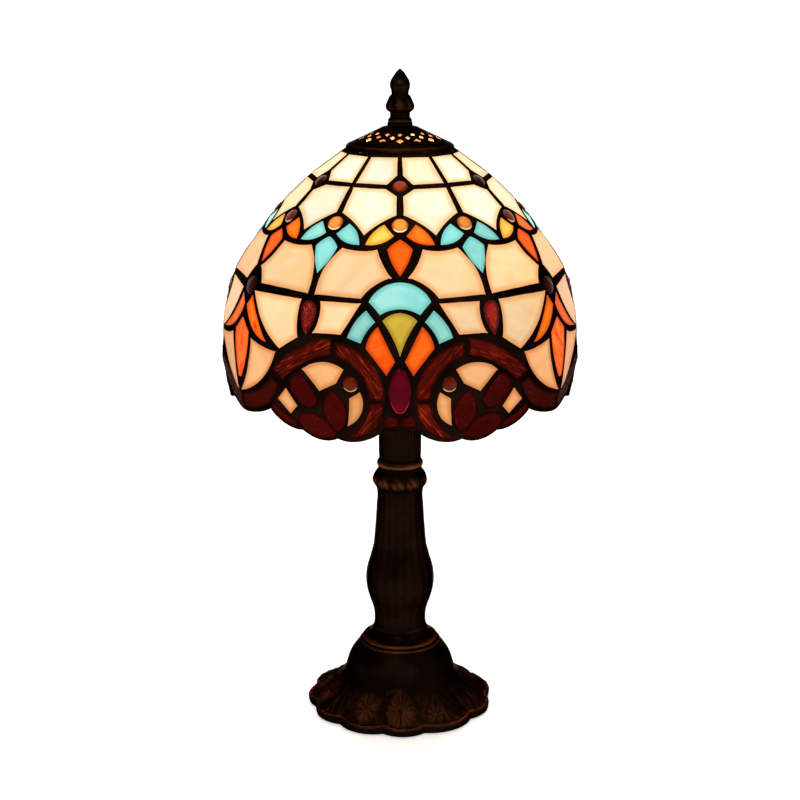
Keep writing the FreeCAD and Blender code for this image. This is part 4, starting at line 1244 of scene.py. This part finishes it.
def cap_piece():
    """Spun cap with three rows of diamond holes, dark outside; inside and on the holes' walls a pale bare
    metal, paler partly as painted light from the bulb seen through the holes.
    """
    pitch = 2 * math.pi / CAP_HOLES
    rows = traced(CAP_OUTLINE, 0.45)
    along = np.concatenate([[0.0], np.cumsum(np.linalg.norm(np.diff(rows, axis=0), axis=1))])
    falls = np.gradient(rows, along, axis=0)
    middle_r = 19.0                                     # where the flat map is true to scale

    def spot(flat, offset):
        azimuth, s = flat[:, 0] / middle_r, flat[:, 1]
        fall_r, fall_z = np.interp(s, along, falls[:, 0]), np.interp(s, along, falls[:, 1])
        size = np.hypot(fall_r, fall_z)
        r = np.interp(s, along, rows[:, 0]) - offset * fall_z / size
        z = np.interp(s, along, rows[:, 1]) + offset * fall_r / size
        return np.stack([r * np.sin(azimuth), -r * np.cos(azimuth), z], axis=1)

    left, right = (share * pitch * middle_r for share in CAP_CUT)
    end = along[-1]
    border = straight_sides([(left, 0.0), (right, 0.0), (right, end), (left, end)], (12, 60, 12, 60))
    points, loops = [border], [list(range(len(border)))]
    count = len(border)
    for radius, half_wide, half_long, place in CAP_DIAMONDS:
        middle = np.array([place * pitch * middle_r, np.interp(radius, rows[:, 0], along)])
        wide = half_wide * middle_r / radius
        corners = middle + np.array([(0, -half_long), (wide, 0), (0, half_long), (-wide, 0)])
        hole = straight_sides(corners, (4, 4, 4, 4))
        points.append(hole)
        loops.append(list(range(count, count + len(hole))))
        count += len(hole)
    grid = staggered_grid((left + 0.3, 0.3), (right - 0.3, end - 0.3), 0.55)
    clear = [outline_distance(grid, outline) > 0.3 for outline in points]
    points.append(grid[np.all(clear, axis=0)])
    flat, triangles = triangulated(np.concatenate(points), loops)
    count = len(flat)
    at_side = [np.abs(flat[:, 0] - edge) < 1e-4 for edge in (left, right)]
    faces = [face for face in two_sided(triangles, count)
             if len(face) == 3 or not any(all(side[point % count] for point in face) for side in at_side)]
    vertices, everything = [], []
    for turn in range(CAP_HOLES):
        turned = flat + np.array([turn * pitch * middle_r, 0.0])
        everything += [[point + turn * 2 * count for point in face] for face in faces]
        vertices += [spot(turned, 0.0), spot(turned, -CAP_WALL)]
    edge = np.tile(hump(flat[:, 1], end - 3.0, 2.2), 2 * CAP_HOLES)
    piece = new_piece("cast_vented_cap", np.concatenate(vertices), everything, BRONZE,
                      attributes={"wear": 0.12 * edge})
    piece.data.materials.append(CAP_INSIDE_LIT)
    joined = bmesh.new()
    joined.from_mesh(piece.data)
    bmesh.ops.remove_doubles(joined, verts=joined.verts, dist=2e-6)
    bmesh.ops.recalc_face_normals(joined, faces=joined.faces)
    (inner_r, inner_z), (outer_r, outer_z) = CAP_FLAT
    slope = math.atan2(inner_z - outer_z, outer_r - inner_r)
    # Faces inside the cap and on the holes' walls take the pale metal: partly painted light from the bulb.
    for face in joined.faces:
        middle = face.calc_center_median()
        reach = math.hypot(middle.x, middle.y)
        upright = (face.normal.x * middle.x + face.normal.y * middle.y) / reach * math.sin(slope)
        upright += face.normal.z * math.cos(slope)
        in_hole = abs(upright) < 0.5 and inner_r + 1.8 < reach / MM < outer_r + 2.0
        face.material_index = int(in_hole or face.normal.z < -0.3)
    joined.to_mesh(piece.data)
    joined.free()
    piece.data.shade_smooth()
    piece.data.set_sharp_from_angle(angle=math.radians(50))
    return stand_for(piece, "vented_cap")


cap_piece()


# ---------------------------------------------------------------- finishes for the CAD nodes that stay
for node_name, kept in NODES.items():
    kept.data.materials.clear()
    kept.data.materials.append(NODE_FINISHES.get(node_name, FINISHES[SLOT_OF[node_name]]))


# ---------------------------------------------------------------- floor, light and camera
def sweep_of_paper():
    """A pale floor that rises behind the lamp in one curve."""
    bend, rise = 0.6, 1.4
    outline = [(-3.0, 0.0), (0.9, 0.0)]
    outline += [(0.9 + bend * math.sin(turn), bend * (1 - math.cos(turn)))
                for turn in np.linspace(0.1, math.pi / 2, 14)]
    outline.append((0.9 + bend, bend + rise))
    vertices = [(x, y, z) for y, z in outline for x in (-3.0, 3.0)]
    faces = [[2 * k, 2 * k + 1, 2 * k + 3, 2 * k + 2] for k in range(len(outline) - 1)]
    mesh = bpy.data.meshes.new("floor")
    mesh.from_pydata(vertices, [], faces)
    shader = Shader("paper")
    weave = shader.noise(shader.place(), 300.0, 3.0)
    mottled = shader.mix(shader.between(weave, 0.3, 0.7), (0.90, 0.90, 0.90, 1), (0.93, 0.93, 0.93, 1))
    shader.set(Base_Color=mottled, Roughness=0.9, Specular_IOR_Level=0.1, Emission_Color=(1, 1, 1, 1),
               Emission_Strength=0.5)
    piece_of(mesh, shader.material, None, None)


def in_scene(name, data, place):
    """A light or a camera at its place."""
    holder = bpy.data.objects.new(name, data)
    holder.location = place
    bpy.context.collection.objects.link(holder)
    return holder


def lamp_of_area(name, place, target, size, power, colour=(1.0, 1.0, 1.0)):
    light = bpy.data.lights.new(name, "AREA")
    light.shape = "DISK"
    light.size = size
    light.energy = power
    light.color = colour
    holder = in_scene(name, light, place)
    holder.rotation_euler = (Vector(target) - Vector(place)).to_track_quat("-Z", "Y").to_euler()


def glow_of_bulb(name, height, power, size):
    light = bpy.data.lights.new(name, "POINT")
    light.energy = power
    light.color = (1.0, 0.72, 0.42)
    light.shadow_soft_size = size
    in_scene(name, light, (0, 0, height))


def studio():
    sweep_of_paper()
    world = bpy.data.worlds.new("studio")
    world.use_nodes = True
    world.node_tree.nodes["Background"].inputs["Color"].default_value = (1.0, 1.0, 1.0, 1.0)
    world.node_tree.nodes["Background"].inputs["Strength"].default_value = 0.10
    bpy.context.scene.world = world
    lamp_of_area("key", (-0.35, -1.7, 1.35), (0, 0, 0.1), 0.7, 9.0, (1.0, 0.95, 0.9))
    lamp_of_area("fill", (1.4, -0.9, 0.9), (0, 0, 0.2), 1.2, 4.0)
    lamp_of_area("overhead", (0.0, 0.5, 2.3), (0, 0.4, 0.0), 2.6, 42.0)
    glow_of_bulb("bulb_glow", 0.314, 1.6, 0.006)


def photo_camera():
    camera = bpy.data.cameras.new("camera")
    camera.sensor_width = 36.0
    camera.lens = 78.66
    camera.clip_start = 0.05
    holder = in_scene("camera", camera, (0.0, -1.0, 0.453))
    holder.rotation_euler = (math.radians(90 - 14.67), 0, 0)
    bpy.context.scene.camera = holder


studio()
photo_camera()
bpy.context.scene.view_settings.view_transform = "Standard"
